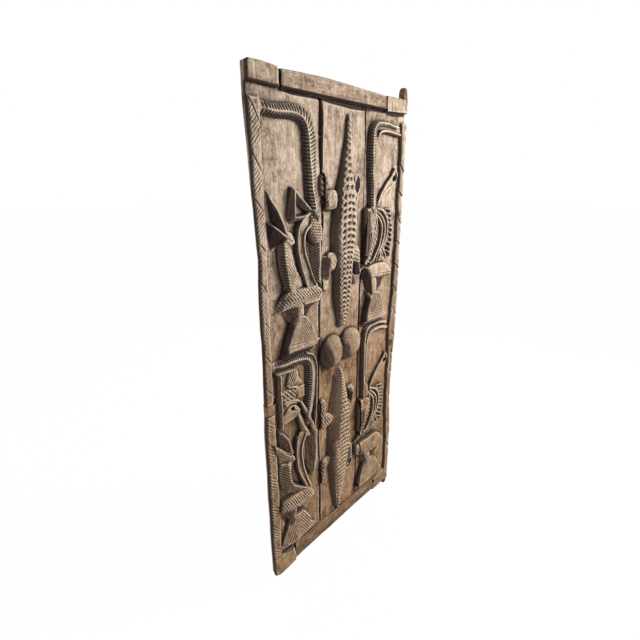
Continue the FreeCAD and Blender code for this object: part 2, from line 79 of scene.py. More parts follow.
def ease(value: Array) -> Array:
    """A soft step from 0 to 1 while the value goes from 0 to 1."""
    held = np.clip(value, 0.0, 1.0)
    return held * held * (3.0 - 2.0 * held)


def between_cells(values: Array, rows: tuple[Array, Array], columns: tuple[Array, Array], part_x: Array,
        part_z: Array) -> Array:
    """Reads a table between four of its cells, by shares across and up."""
    (low, high), (left, right) = rows, columns
    lower = values[low, left] * (1 - part_x) + values[low, right] * part_x
    upper = values[high, left] * (1 - part_x) + values[high, right] * part_x
    return lower * (1 - part_z) + upper * part_z


class Wander:
    """Smooth seeded noise between -1 and 1 over the door's front."""

    table_size = 64

    def __init__(self, seed: int, step_x: float, step_z: float) -> None:
        """Draws the noise's table.

        Args:
            seed: the number that fixes the draw.
            step_x: millimetres across from one drawn value to the next.
            step_z: the same, upwards.
        """
        self.table = np.random.default_rng(seed).uniform(-1, 1, (self.table_size,) * 2)
        self.step_x, self.step_z = step_x, step_z

    def __call__(self, x: Array, z: Array) -> Array:
        """The noise at places given in millimetres."""
        across, up = x / self.step_x, z / self.step_z
        column, row = np.floor(across).astype(int), np.floor(up).astype(int)
        rows = row % self.table_size, (row + 1) % self.table_size
        columns = column % self.table_size, (column + 1) % self.table_size
        return between_cells(self.table, rows, columns, ease(across - column), ease(up - row))


def softened(values: Array, reach: int) -> Array:
    """A map blurred by three passes of a square brush.

    Args:
        values: the map.
        reach: the brush's half width in cells.

    Returns:
        The blurred map, of the same size.
    """
    blurred = values
    size = 2 * reach + 1
    for _ in range(3):
        for axis in (0, 1):
            pads = [(0, 0), (0, 0)]
            pads[axis] = (reach + 1, reach)
            total = np.cumsum(np.pad(blurred, pads, mode="edge"), axis=axis, dtype=np.float64)
            length = values.shape[axis]
            ahead = np.take(total, np.arange(size, size + length), axis=axis)
            behind = np.take(total, np.arange(0, length), axis=axis)
            blurred = (ahead - behind) / size
    return blurred


def curved(points: Path, closed: bool = False, steps: int = 6) -> list[Point]:
    """A smooth line through a few points.

    Args:
        points: the points that it passes.
        closed: whether it comes back to its first point.
        steps: how many short runs make each stretch.

    Returns:
        The points of the short runs.
    """
    count = len(points)
    line: list[Point] = []
    for index in range(count if closed else count - 1):
        if closed:
            before, start, end, after = (points[(index + k) % count] for k in (-1, 0, 1, 2))
        else:
            before, start = points[max(index - 1, 0)], points[index]
            end, after = points[index + 1], points[min(index + 2, count - 1)]
        for step in range(steps):
            t = step / steps
            line.append(tuple(0.5 * (2 * b + (c - a) * t + (2 * a - 5 * b + 4 * c - d) * t * t
                + (3 * b - a - 3 * c + d) * t ** 3) for a, b, c, d in zip(before, start, end, after)))
    if not closed:
        line.append(points[-1])
    return line


def seen_at(rise: float, *places: Point) -> list[Point]:
    """Places on the front, from where they show against the plane of the blocks' faces.

    Args:
        rise: how far the places stand above the ground.
        places: where an eye at the left of the leaf sees them on that plane.

    Returns:
        Where they lie on the leaf.
    """
    off = BLOCK_RISE - rise
    share = off / (off + EYE_DISTANCE)
    return [((x + share * -EYE_X) / (1 - share), (z - share * EYE_Z) / (1 - share)) for x, z in places]


def moved_by(shift: Point, rise: float, *places: Point) -> list[Point]:
    """Places seen on the upper panel, moved to another panel that repeats it."""
    return seen_at(rise, *[(x + shift[0], z + shift[1]) for x, z in places])


def resampled(line: Path, count: int) -> list[Point]:
    """A line's points replaced by a number of them at equal distances along it."""
    places = np.array(line)
    gone = np.concatenate([[0.0], np.cumsum(np.hypot(*np.diff(places, axis=0).T))])
    steps = np.linspace(0.0, gone[-1], count)
    return list(zip(np.interp(steps, gone, places[:, 0]), np.interp(steps, gone, places[:, 1])))


@dataclass
class Near:
    """How a stretch of the front lies to a line: distance, way along it and side."""

    away: Array
    along: Array
    side: Array


def nearest(x: Array, z: Array, line: Path) -> Near:
    """Measures each place against its nearest point on an open line.

    Args:
        x: places across.
        z: places up.
        line: the line's points.

    Returns:
        The distance, the millimetres along the line, and 1 or -1 for its left or right side.
    """
    best = np.full(x.shape, 1e12)
    along, side = np.zeros(x.shape), np.ones(x.shape)
    gone = 0.0
    for (x0, z0), (x1, z1) in zip(line[:-1], line[1:]):
        dx, dz = x1 - x0, z1 - z0
        length = math.hypot(dx, dz) or 1e-9
        part = np.clip(((x - x0) * dx + (z - z0) * dz) / length ** 2, 0, 1)
        off_x, off_z = x - x0 - part * dx, z - z0 - part * dz
        square = off_x ** 2 + off_z ** 2
        closer = square < best
        best = np.where(closer, square, best)
        along = np.where(closer, gone + part * length, along)
        side = np.where(closer, np.sign(dx * off_z - dz * off_x), side)
        gone += length
    return Near(np.sqrt(best), along, side)


def inside_of(x: Array, z: Array, outline: Path) -> Array:
    """Millimetres inside a closed outline, negative outside it."""
    closed = list(outline) + [outline[0]]
    away = nearest(x, z, closed).away
    within = np.zeros(x.shape, dtype=bool)
    for (x0, z0), (x1, z1) in zip(closed[:-1], closed[1:]):
        if z0 == z1:
            continue
        crosses = ((z0 > z) != (z1 > z)) & (x < (x1 - x0) * (z - z0) / (z1 - z0) + x0)
        within ^= crosses
    return np.where(within, away, -away)


def notches(way: Array, pitch: float, gap_share: float) -> Array:
    """1 in the middle of each gap of a row of ribs and 0 on the ribs' rounded backs."""
    off = np.abs(np.mod(way / pitch, 1.0) - 0.5) * 2.0
    return ease((off - (1.0 - gap_share)) / gap_share) * 0.8 + 0.2 * off ** 4


@dataclass(frozen=True)
class Strokes:
    """Parallel knife cuts across a carved face."""

    angle: float
    pitch: float
    depth: float
    gap_share: float = 0.55

    def cut(self, x: Array, z: Array) -> Array:
        """The depth of the cuts at each place."""
        turn = math.radians(self.angle)
        across = z * math.cos(turn) - x * math.sin(turn)
        return self.depth * notches(across, self.pitch, self.gap_share)


@dataclass(frozen=True)
class Score:
    """One knife line along a path."""

    path: Path
    width: float
    depth: float

    def cut(self, x: Array, z: Array) -> Array:
        """The depth of the line at each place."""
        away = nearest(x, z, self.path).away
        return self.depth * ease(1.2 - away / self.width * 2.0)


@dataclass(frozen=True)
class Hollow:
    """A pit sunk into a carved face."""

    outline: Path
    depth: float
    slope: float = 5.0

    def cut(self, x: Array, z: Array) -> Array:
        """The depth of the pit at each place."""
        return self.depth * ease(inside_of(x, z, self.outline) / self.slope + 0.5)


@dataclass(frozen=True)
class Part:
    """Cuts that stay within one outline of a larger carved face."""

    outline: Path
    cuts: tuple = ()

    def cut(self, x: Array, z: Array) -> Array:
        """The depth of the kept cuts at each place."""
        kept = inside_of(x, z, self.outline)
        return sum(each.cut(x, z) for each in self.cuts) * ease(kept / 2.0)


@dataclass(frozen=True)
class Carving:
    """One raised figure with a closed outline.

    Its face is crowned, or it falls away from a crest at two rates: on the left and on the right
    of the crest's own direction.
    """

    outline: Path
    rise: float
    slope: float = 6.0
    crown: float = 3.0
    crown_reach: float = 14.0
    crest: Path = ()
    falls: Point = (0.5, 0.5)
    cuts: tuple = ()
    smooth: bool = True
    tip: float = 0.0


class Relief:
    """The height map of the door's carved front, in millimetres above the ground of the planks."""

    cell = 1.0
    lowest, highest = -19.5, 43.5
    hand_error = 1.5
    adze_depth, fibre_depth, chip_depth, dent_depth = 1.0, 0.28, 0.5, 2.0

    def __init__(self) -> None:
        """Starts with a hewn ground and a hand's small errors in every line."""
        across = np.arange(0.0, DOOR_WIDTH + self.cell, self.cell)
        up = np.arange(0.0, DOOR_HEIGHT + self.cell, self.cell)
        self.x, self.z = np.meshgrid(across, up)
        self.hand_x = self.x + self.hand_error * self.noise(11, 46, 52)
        self.hand_z = self.z + self.hand_error * self.noise(12, 50, 44)
        self.rise = np.zeros(self.x.shape)
        # Painted shade, with some soot and dirt, that darkens the colour
        self.shade_and_dirt = np.zeros(self.x.shape)
        self.wear = 0.85 + 0.3 * self.noise(13, 10, 9)

    def noise(self, seed: int, step_x: float, step_z: float) -> Array:
        """Smooth noise over the whole map."""
        return Wander(seed, step_x, step_z)(self.x, self.z)

    def window(self, line: Path, margin: float) -> Window:
        """The part of the map round a line."""
        xs, zs = [p[0] for p in line], [p[1] for p in line]
        rows, columns = self.x.shape
        low_x, high_x = min(xs) - margin, max(xs) + margin
        low_z, high_z = min(zs) - margin, max(zs) + margin
        return (
            slice(max(int(low_z), 0), min(int(high_z) + 2, rows)),
            slice(max(int(low_x), 0), min(int(high_x) + 2, columns)),
        )

    def within(self, outline: Path, margin: float) -> tuple[Window, Array]:
        """The part of the map round an outline, and how far inside it each place lies."""
        where = self.window(outline, margin)
        return where, inside_of(self.hand_x[where], self.hand_z[where], outline)

    def beside(self, line: Path, margin: float) -> tuple[Window, Near]:
        """The part of the map round a line, and how each place lies to it."""
        where = self.window(line, margin)
        return where, nearest(self.hand_x[where], self.hand_z[where], line)

    def lay(self, where: Window, height: Array) -> None:
        """Raises the map to a figure's height where that is higher."""
        self.rise[where] = np.maximum(self.rise[where], height)

    def carve(self, carving: Carving) -> None:
        """Lays one figure on the ground and cuts its strokes."""
        outline = curved(carving.outline, True) if carving.smooth else list(carving.outline)
        where, inner = self.within(outline, carving.slope + 4)
        x, z = self.hand_x[where], self.hand_z[where]
        top = carving.rise - carving.crown * (1 - ease(inner / carving.crown_reach))
        if carving.crest:
            crest = nearest(x, z, carving.crest)
            fall = np.where(crest.side > 0, carving.falls[0], carving.falls[1])
            high = carving.rise - carving.tip * (1 - ease(crest.along / 90.0))
            top = np.maximum(high - fall * np.maximum(crest.away - 2.5, 0.0), 2.5)
        for each in carving.cuts:
            top = top - each.cut(x, z) * self.wear[where] * ease((inner + 1.0) / 3.0)
        wall = ease(inner / carving.slope + 0.5)
        self.lay(where, top * wall)

    def band(self, line: Path, width: float, rise: float, slope: float = 6.0, crown: float = 3.0,
            ends: float = 0.0) -> None:
        """Lays a raised band along a line.

        Args:
            line: the middle of the band.
            width: the band's width at half its rise.
            rise: how far it stands above the ground.
            slope: the width of its walls.
            crown: how far its back falls off to the sides.
            ends: how far the band falls off towards its two ends.
        """
        where, near = self.beside(line, width)
        half = 0.5 * width
        inner = half - near.away
        top = rise - crown * np.minimum(near.away / half, 1.0) ** 2
        if ends:
            length = float(near.along.max())
            left_over = np.minimum(near.along, length - near.along)
            top = top - ends * (1 - ease(left_over / (2.0 * width)))
        self.lay(where, top * ease(inner / slope + 0.5))

    def horns(self, ridge: Path, left: Path, right: Path, rise: float, pitch: float, falls: Point,
            ribs_from: float = 0.0, skew: float = 0.35, slot: float = 9.0,
            flank_shade: tuple[Path, Path] = (((0, 0.55),), ((0, 0.9),))) -> None:
        """Lays a ridge with slots cut across both of its flanks, as on a pair of ribbed horns.

        Args:
            ridge: a few points of the ridge.
            left: the flank's width on the left of the ridge, by millimetres along it.
            right: the same on the right.
            rise: how far the ridge stands above the ground.
            pitch: from one slot to the next.
            falls: how far the left and the right flank fall off to their edges.
            ribs_from: how far along the slots begin.
            skew: millimetres along for each millimetre across.
            slot: the slots' depth.
            flank_shade: how much shade is painted on the left and the right flank away from the ridge, by
                millimetres along it.
        """
        where, near = self.beside(curved(ridge), 44)
        on_left = near.side > 0
        width = np.where(on_left, np.interp(near.along, *zip(*left)), np.interp(near.along, *zip(*right)))
        fall = np.where(on_left, *falls)
        share = near.away / width
        gap = notches(near.along + skew * near.away, pitch, 0.66)
        gap = gap * ease((near.away - 2.0) / 3.0) * ease((near.along - ribs_from) / 16.0 + 0.2)
        gap = gap * self.wear[where]
        top = rise - fall * share ** 1.3 - slot * gap * (1 - 0.5 * ease(share * 3.0 - 2.0))
        top = top * (0.5 + 0.5 * ease(near.along / 40.0))
        self.lay(where, top * ease((width - near.away) / 5.0 + 0.5))
        # Painted shade on the flanks away from the ridge, and painted shade with grime in the slots
        shade_and_grime = np.where(on_left, *[np.interp(near.along, *zip(*side)) for side in flank_shade])
        shade_and_grime = shade_and_grime * ease((share - 0.22) * 3.0)
        shade_and_grime = np.maximum(shade_and_grime, 0.92 * gap) * (share < 1) * ease(near.along / 20.0)
        self.shade_and_dirt[where] = np.maximum(self.shade_and_dirt[where], shade_and_grime)

    def hollow_out(self, outline: Path, depth: float, slope: float) -> None:
        """Lowers the ground within an outline."""
        where, inner = self.within(outline, slope)
        self.rise[where] -= depth * ease(inner / slope + 0.5)

    def shade_and_soil(self, outline: Path, amount: float, soft: float) -> None:
        """Paints a place darker, as painted shade with some soot and dirt."""
        where, inner = self.within(outline, soft + 2)
        self.shade_and_dirt[where] = np.maximum(self.shade_and_dirt[where], amount * ease(inner / soft + 0.5))

    def shaded_hollow(self, outline: Path, depth: float, slope: float) -> None:
        """Lowers the ground within an outline and paints it dark as shade."""
        self.hollow_out(outline, depth, slope)
        self.shade_and_soil(outline, 1.0, 3.0)

    def shade_and_soil_table(self, places: Sequence, soft: float) -> None:
        """Paints shade on a table of places."""
        for level, amount, *outline in places:
            self.shade_and_soil(seen_at(level, *outline), amount, soft)

    def score(self, line: Path, width: float, depth: float) -> None:
        """Cuts one groove along a line."""
        where, near = self.beside(line, width)
        self.rise[where] -= depth * ease(1.15 - near.away / width * 2.0)

    def engrave(self, outline: Path, cuts: tuple) -> None:
        """Cuts strokes into what is already raised, within an outline."""
        where, inner = self.within(outline, 2)
        for each in cuts:
            self.rise[where] -= each.cut(self.hand_x[where], self.hand_z[where]) * ease(inner / 3.0)

    def sink(self, outline: Path, depth: float) -> None:
        """Lets in a flat bottomed pocket with upright walls."""
        where = self.window(outline, 2)
        inner = inside_of(self.x[where], self.z[where], outline)
        self.rise[where] = np.where(inner > 0, -depth, self.rise[where])

    def pit(self, centre: Point, radii: Point, depth: float) -> None:
        """Sinks a round hole with a dark floor."""
        where = self.window([np.subtract(centre, radii), np.add(centre, radii)], 4)
        off = np.hypot((self.x[where] - centre[0]) / radii[0], (self.z[where] - centre[1]) / radii[1])
        floor = np.maximum(self.rise[where], 5.0 - depth) - depth * ease((1.1 - off) * 3.0)
        self.rise[where] = np.minimum(self.rise[where], floor)

    def dome(self, centre: Point, radii: Point, rise: float, power: float = 0.55) -> None:
        """Raises a round boss."""
        where = self.window([np.subtract(centre, radii), np.add(centre, radii)], 4)
        off = ((self.hand_x[where] - centre[0]) / radii[0]) ** 2
        off = off + ((self.hand_z[where] - centre[1]) / radii[1]) ** 2
        self.lay(where, rise * np.clip(1 - off, 0, 1) ** power)

    def at(self, x: Array, z: Array, of_map: Array | None = None) -> Array:
        """Reads a map, the rise unless another is named, at places given in millimetres."""
        values = self.rise if of_map is None else of_map
        column = np.clip(x / self.cell, 0, values.shape[1] - 1.001)
        row = np.clip(z / self.cell, 0, values.shape[0] - 1.001)
        left, low = column.astype(int), row.astype(int)
        return between_cells(values, (low, low + 1), (left, left + 1), column - left, row - low)

    def finish(self) -> None:
        """Adds the ground's tool marks and works out the painted shade, soot and dirt, and the rubbed
        places with a painted highlight.
        """
        adze = self.noise(21, 34, 60) + 0.5 * self.noise(22, 15, 38)
        fibre = self.noise(23, 2.6, 70) + 0.7 * self.noise(24, 5.5, 120)
        chips = self.noise(25, 7, 9)
        dents = np.clip(self.noise(26, 19, 15) - 0.45, 0, 1)
        self.rise = (self.rise + self.adze_depth * adze + self.fibre_depth * fibre
            + self.chip_depth * chips - self.dent_depth * dents)
        self.rise = np.clip(self.rise, self.lowest, self.highest)
        close, wide = softened(self.rise, 3), softened(self.rise, 11)
        # Painted shade with some dirt, darker in narrow and in wide hollows
        self.shade = np.clip((close - self.rise) / 3.0, 0, 1) * 0.6
        self.shade += np.clip((wide - self.rise) / 11.0, 0, 1) * 0.6
        # Rubbed wear on the high places, which is also a painted highlight
        self.rubbed = np.clip((self.rise - close) / 2.2, 0, 1)
        # Painted shade on steep faces, darkest on those turned left and down from the light, joined by the
        # painted shade and soot of the shaded places
        lean_z, lean_x = np.gradient(softened(self.rise, 1))
        steep = np.maximum(np.hypot(lean_x, lean_z), 0.01)
        turned_from_light = np.clip((lean_x + 0.7 * lean_z) / steep, 0, 1)
        self.shade_and_soot = 0.8 * np.clip((steep * (0.25 + 0.75 * turned_from_light) - 0.22) / 0.5, 0, 1)
        self.shade_and_soot = np.maximum(self.shade_and_soot, self.shade_and_dirt)


def left_seam(z: Array) -> Array:
    """The x of the left seam at each height."""
    heights = (0, 200, 550, 650, 850, 1000, 1165, 1290, 1380, 1450, 1500, 1590, 1700, 1745, 1830)
    places = (294, 294, 287, 289, 292.5, 298, 301, 306, 315, 320.5, 320, 315, 312, 313.5, 312.5)
    return np.interp(z, heights, places) + 0.8 * np.sin(z / 31.0)


def right_seam(z: Array) -> Array:
    """The x of the right seam at each height."""
    heights = (0, 500, 700, 860, 1150, 1290, 1480, 1650, 1745, 1800, 1900)
    places = (555, 555, 551, 551, 555, 558, 565, 566.5, 568, 565, 564)
    return np.interp(z, heights, places) + 0.6 * np.sin(z / 27.0)


def left_gap(z: Array) -> Array:
    """Half the opening of the left seam at the front."""
    heights = (0, 200, 550, 850, 1000, 1165, 1290, 1450, 1500, 1590, 1700, 1745, 1800, 1830)
    return np.interp(z, heights, (2.5, 3, 2.2, 2.2, 3, 2.6, 2, 2.6, 3.4, 5.4, 8.8, 10.4, 9.8, 6.6))


def right_gap(z: Array) -> Array:
    """Half the opening of the right seam at the front."""
    heights = (0, 100, 500, 800, 1150, 1300, 1400, 1480, 1650, 1715, 1750, 1800, 1830)
    return np.interp(z, heights, (3, 4, 4, 3.8, 4, 3.2, 2.2, 0.8, 0.8, 0.9, 3.0, 4.2, 3.4))


def outer_left(z: Array) -> Array:
    """The x of the leaf's left edge at each height: worn hollow, with a rounded upper corner."""
    heights = (0, 700, 780, 850, 1000, 1050, 1100, 1200, 1260, 1300, 1345, 1390, 1450, 1560, 1650, 1800)
    wear = (0, 0, 2.5, 5, 6, 8, 6, 5, 7, 11, 14, 10, 6, 3, 1.5, 0)
    top = np.clip(z - 1893.0, 0, 10.0)
    worn = 10.0 - np.sqrt(np.maximum(100.0 - top ** 2, 0.0))
    return 1.0 + np.interp(z, heights, wear) + 0.8 * np.sin(z / 37.0) + worn


def let_in(z: Array) -> Array:
    """How far the left edge is cut away at each height, where the edge patch is let in."""
    return 19.0 * ((z > 771.0) & (z < 819.0))


def outer_left_back(z: Array) -> Array:
    """The same at the back, where the edge is hewn away aslant."""
    heights = (0, 250, 700, 850, 1000, 1500, 1600, 1700, 1800, 1900)
    return outer_left(z) + np.interp(z, heights, (14, 12, 12, 15, 16, 16, 13, 9, 6, 5))


def left_foot(x: Array) -> Array:
    """The height of the left plank's lower edge, broken at the corner."""
    return np.interp(x, (0, 8, 28, 118, 128), (13, 5, -7, -4, 0.8)) + 0.6 * np.sin(x / 41.0)


def plank_top(x: Array) -> Array:
    """The height of the planks' upper edge, a little higher over the left block."""
    return 1898.6 + 0.9 * np.sin(x / 57.0) + np.interp(x, (0, 30, 60, 112, 124), (3.6, 5, 5, 1.5, 0))


def outer_right(z: Array) -> Array:
    """The x of the leaf's right edge at each height, worn hollow below the middle."""
    heights = (0, 300, 350, 400, 450, 500, 600, 700, 770, 820, 870, 950, 1900)
    wear = (0.5, 1.5, 4, 8, 14, 18, 19, 14.5, 13.5, 8, 3, 0.5, 0.2)
    return DOOR_WIDTH - np.interp(z, heights, wear) - 0.4 - 0.4 * np.sin(z / 33.0)


# The left plank: the three cornered ear of its upper beast and the two ears of the calf
LEFT_UPPER_EARS = [
    Carving([(158, 1569), (168, 1558), (166, 1468), (140, 1466), (146, 1500), (151, 1544)], 25, slope=3,
        smooth=False, crest=[(165, 1462), (165, 1556)], falls=(1.05, 0.4)),
    Carving([(163, 1564), (178, 1554), (202, 1530), (254, 1482), (240, 1478), (212, 1494), (185, 1512),
        (168, 1536)], 24, slope=3, smooth=False, crest=[(166, 1560), (198, 1530), (248, 1484)],
        falls=(0.4, 0.95)),
    Carving([(140, 1457), (166, 1473), (205, 1475), (246, 1486), (250, 1474), (228, 1464), (200, 1459),
        (136, 1449)], 22, slope=3, smooth=False, crest=[(160, 1474), (205, 1474), (248, 1484)],
        falls=(0.4, 0.9)),
    Carving(seen_at(18, (56, 1564), (72, 1550), (94, 1510), (116, 1464), (134, 1418)) + seen_at(6,
        (120, 1408), (84, 1446), (68, 1470), (64, 1506), (56, 1552)), 24, slope=3, smooth=False, tip=15.0,
        crest=seen_at(20, (58, 1560), (88, 1504), (112, 1454), (131, 1414)), falls=(0.5, 0.8)),
    Carving(seen_at(24, (56, 1466), (100, 1438), (136, 1410), (128, 1394)) + seen_at(4, (108, 1386),
        (64, 1368), (58, 1400), (56, 1450)), 26, slope=3, smooth=False, tip=6.0, crest=seen_at(24,
        (58, 1463), (96, 1436), (133, 1407)), falls=(0.5, 0.5)),
]

# The cross cut head and the breast of the upper beast, and its calf's head and neck
LEFT_UPPER_HEADS = [
    Carving(seen_at(27, (258, 1494), (284, 1484), (300, 1456), (310, 1424), (311, 1386), (298, 1374),
        (276, 1370), (256, 1384), (246, 1402), (244, 1430), (246, 1462)), 29, crown=5, crown_reach=16,
        cuts=(Strokes(62, 8.5, 3.4), Strokes(-6, 9.5, 3.4))),
    Carving([(246, 1424), (262, 1404), (284, 1384), (290, 1330), (284, 1280), (284, 1232), (268, 1236),
        (256, 1268), (246, 1304), (238, 1350), (236, 1396)], 26, slope=4, crest=[(282, 1225), (277, 1290),
        (282, 1385)], falls=(0.72, 0.3), cuts=(Strokes(-36, 8.5, 3.0),)),
    Carving(seen_at(27, (128, 1426), (150, 1426), (166, 1410), (172, 1386), (150, 1376), (134, 1382),
        (112, 1398)), 28, crown=6, cuts=(Score([(108, 1410), (128, 1406), (146, 1394)], 4, 3.5),
        Score([(112, 1424), (132, 1420)], 4, 3))),
    Carving([(96, 1392), (130, 1388), (146, 1366), (156, 1336), (166, 1306), (182, 1280), (204, 1256),
        (228, 1236), (236, 1222), (120, 1220), (112, 1250), (98, 1300), (92, 1350)], 28, slope=4,
        crest=[(138, 1216), (127, 1250), (118, 1300), (113, 1345), (110, 1400)], falls=(1.1, 0.3),
        cuts=(Part([(140, 1216), (118, 1300), (110, 1400), (160, 1400), (240, 1230)],
        (Strokes(-48, 9.5, 3.6),)), Part([(100, 1216), (96, 1400), (116, 1400), (124, 1300), (144, 1216)],
        (Strokes(-12, 9.5, 5.0),)))),
]

# The body, the legs and the bell base of the upper beast
LEFT_UPPER_BASE = [
    Carving([(68, 1150), (78, 1180), (96, 1206), (118, 1224), (147, 1229), (206, 1226), (260, 1224),
        (278, 1214), (290, 1196), (280, 1160), (206, 1158), (130, 1158), (98, 1152)], 29, slope=4,
        crest=[(140, 1202), (286, 1202)], falls=(0.2, 0.36), cuts=(Part([(60, 1140), (60, 1240),
        (296, 1240), (292, 1184), (206, 1186), (137, 1182), (98, 1170)], (Strokes(-50, 10, 4.6, 0.5),)),
        Score([(84, 1160), (137, 1177), (206, 1181), (288, 1180)], 4.5, 4.0), Part([(90, 1158), (137, 1173),
        (206, 1177), (286, 1176), (284, 1150), (90, 1140)], (Strokes(-50, 9, 3.6, 0.5),)))),
    Carving([(104, 1160), (166, 1168), (166, 1132), (156, 1110), (140, 1102), (116, 1128)], 22, slope=4,
        crest=[(158, 1104), (168, 1134), (166, 1172)], falls=(0.5, 0.3)),
    Carving([(162, 1170), (196, 1168), (196, 1112), (160, 1112)], 21, slope=5),
    Carving([(204, 1172), (280, 1172), (264, 1148), (214, 1148)], 21, slope=4, crest=[(200, 1166),
        (290, 1166)], falls=(0.4, 0.7)),
    Carving(seen_at(8, (82, 986), (92, 974), (200, 971), (246, 974), (276, 996), (276, 1010), (110, 1010)),
        16, slope=5, crown=8, crown_reach=24),
    Carving(seen_at(24, (150, 1112), (176, 1122), (205, 1119), (230, 1102), (248, 1074), (262, 1044),
        (276, 1012), (277, 996), (190, 992), (118, 990)) + seen_at(6, (80, 984), (92, 1020), (112, 1072),
        (128, 1104)), 27, slope=4, crest=seen_at(25, (116, 986), (117, 1024), (142, 1074), (166, 1112)),
        falls=(0.85, 0.02), cuts=(Part(seen_at(26, (118, 1024), (200, 1020), (200, 1124), (160, 1110)),
        (Strokes(46, 8.0, 3.2),)), Part(seen_at(26, (200, 1020), (276, 1014), (240, 1100), (200, 1124)),
        (Strokes(-58, 8.0, 3.2),)), Score(seen_at(26, (112, 1021), (190, 1015), (276, 1008)), 4.0, 4.0),
        Score(seen_at(26, (112, 1007), (190, 1002), (276, 999)), 3.5, 3.0))),
]

# The framed plaque over the lower calf, with its crested head and the two reins
RIBS = (Strokes(56, 10, 5.0),)
LEFT_PLAQUE = [
    Carving([(62, 933), (147, 926), (196, 846), (200, 790), (160, 758), (160, 712), (66, 705)], 10,
        smooth=False),
    Carving(seen_at(21, (60, 932), (110, 929), (162, 922), (162, 908), (108, 916), (60, 920)), 22, slope=3,
        smooth=False, cuts=(Strokes(78, 8.5, 5.0),)),
    Carving([(62, 926), (78, 922), (78, 700), (64, 700)], 20, slope=3, smooth=False, crest=[(76, 700),
        (76, 926)], falls=(0.7, 0.7)),
    Carving(seen_at(20, (108, 862), (150, 858), (168, 906), (124, 914)), 21, slope=4, cuts=RIBS),
    Carving(seen_at(21, (104, 866), (118, 848), (160, 836), (164, 846), (128, 858), (166, 868), (164, 876)),
        22, slope=4, smooth=False),
    Carving(seen_at(20, (80, 842), (112, 846), (150, 834), (150, 790), (112, 784), (84, 800)), 20, slope=5,
        cuts=(Strokes(40, 12, 5.0), Strokes(-50, 13, 5.0))),
    Carving(seen_at(20, (150, 838), (200, 838), (200, 786), (156, 786)), 20, slope=3, smooth=False,
        cuts=(Score(seen_at(20, (150, 830), (198, 831), (198, 790)), 3, 3.5),)),
    Carving(seen_at(22, (90, 796), (104, 802), (140, 796), (166, 784), (172, 768), (152, 774), (122, 780),
        (100, 776)), 23, slope=4, cuts=(Score(seen_at(22, (96, 784), (130, 790), (164, 774)), 4, 4),)),
    Carving(seen_at(22, (96, 752), (118, 768), (150, 766), (170, 748), (176, 730), (160, 712), (90, 704),
        (76, 726)), 22, slope=5, crown=5, cuts=(Hollow(seen_at(20, (122, 766), (140, 764), (138, 752),
        (124, 752)), 16, 4), Score(seen_at(20, (106, 746), (134, 752), (166, 738)), 4, 4.5),
        Score(seen_at(20, (78, 716), (120, 718), (158, 710)), 4, 4.5))),
    Carving([(146, 734), (168, 726), (182, 700), (222, 606), (196, 600), (172, 640)], 22, slope=4,
        smooth=False, crest=[(212, 600), (176, 672), (152, 726)], falls=(0.4, 0.75)),
    Carving([(160, 784), (176, 778), (206, 722), (240, 650), (262, 560), (244, 552), (222, 640),
        (190, 716)], 25, slope=4, smooth=False, crest=[(252, 552), (232, 650), (196, 728), (170, 780)],
        falls=(0.4, 0.8)),
]

# The two long ears of the lower calf
LEFT_LOWER_EARS = [
    Carving(seen_at(12, (52, 694), (72, 684), (102, 640), (112, 606), (124, 566), (108, 560), (88, 592),
        (66, 604), (56, 640)), 23, slope=4, smooth=False, crest=seen_at(22, (66, 690), (101, 638),
        (113, 600), (122, 560)), falls=(0.4, 0.6)),
    Carving(seen_at(16, (28, 652), (44, 632), (128, 548), (136, 522), (98, 506), (58, 512), (56, 560),
        (40, 600)), 22, slope=4, smooth=False, crest=seen_at(22, (30, 654), (82, 592), (132, 530)),
        falls=(0.4, 0.34), cuts=(Score(seen_at(20, (36, 642), (84, 584), (116, 550)), 4, 5),
        Strokes(-36, 8.5, 2.8))),
]

# The lower beast's breast and body, its calf's head and neck, and the bell base
LEFT_LOWER_FIGURES = [
    Carving(seen_at(18, (196, 610), (258, 610), (262, 560), (258, 480), (236, 396), (222, 396), (204, 460),
        (196, 530)), 27, slope=5, crest=[(232, 380), (244, 470), (246, 620)], falls=(0.6, 0.4)),
    Carving(seen_at(22, (64, 528), (96, 526), (132, 524), (118, 506), (108, 480), (112, 450), (124, 414),
        (150, 386), (180, 362), (206, 340), (100, 336), (82, 360), (68, 420), (60, 480)), 27, slope=6,
        crest=seen_at(27, (196, 344), (140, 390), (116, 430), (106, 480), (100, 528)), falls=(0.5, 0.6),
        cuts=(Strokes(-38, 9.5, 4.0),)),
    Carving(seen_at(24, (54, 312), (66, 346), (120, 349), (170, 344), (216, 338), (234, 318), (244, 286),
        (236, 272), (140, 278), (100, 286), (62, 300)), 28, crown=5, crown_reach=16, cuts=(Part([(20, 300),
        (20, 380), (250, 380), (250, 292), (120, 302)], (Strokes(-62, 10, 4.6),)), Score(seen_at(26,
        (60, 296), (120, 290), (240, 286)), 4, 4))),
    Carving([(66, 298), (126, 298), (124, 242), (106, 226)], 20, slope=5, crest=[(104, 228), (128, 250),
        (128, 300)], falls=(0.45, 0.3)),
    Carving([(140, 288), (226, 286), (214, 262), (176, 258)], 19, slope=4, crest=[(134, 284), (232, 284)],
        falls=(0.3, 0.6)),
    Carving([(100, 246), (169, 246), (190, 222), (211, 188), (226, 146), (238, 114), (50, 114), (52, 140),
        (74, 196)], 24, slope=6, crest=[(124, 112), (132, 180), (140, 250)], falls=(0.16, 0.08),
        cuts=(Part([(140, 250), (160, 250), (246, 118), (164, 118)], (Strokes(-58, 9.5, 5.0),)),
        Part([(40, 262), (140, 262), (156, 118), (40, 118)], (Strokes(66, 13, 2.6),)))),
]
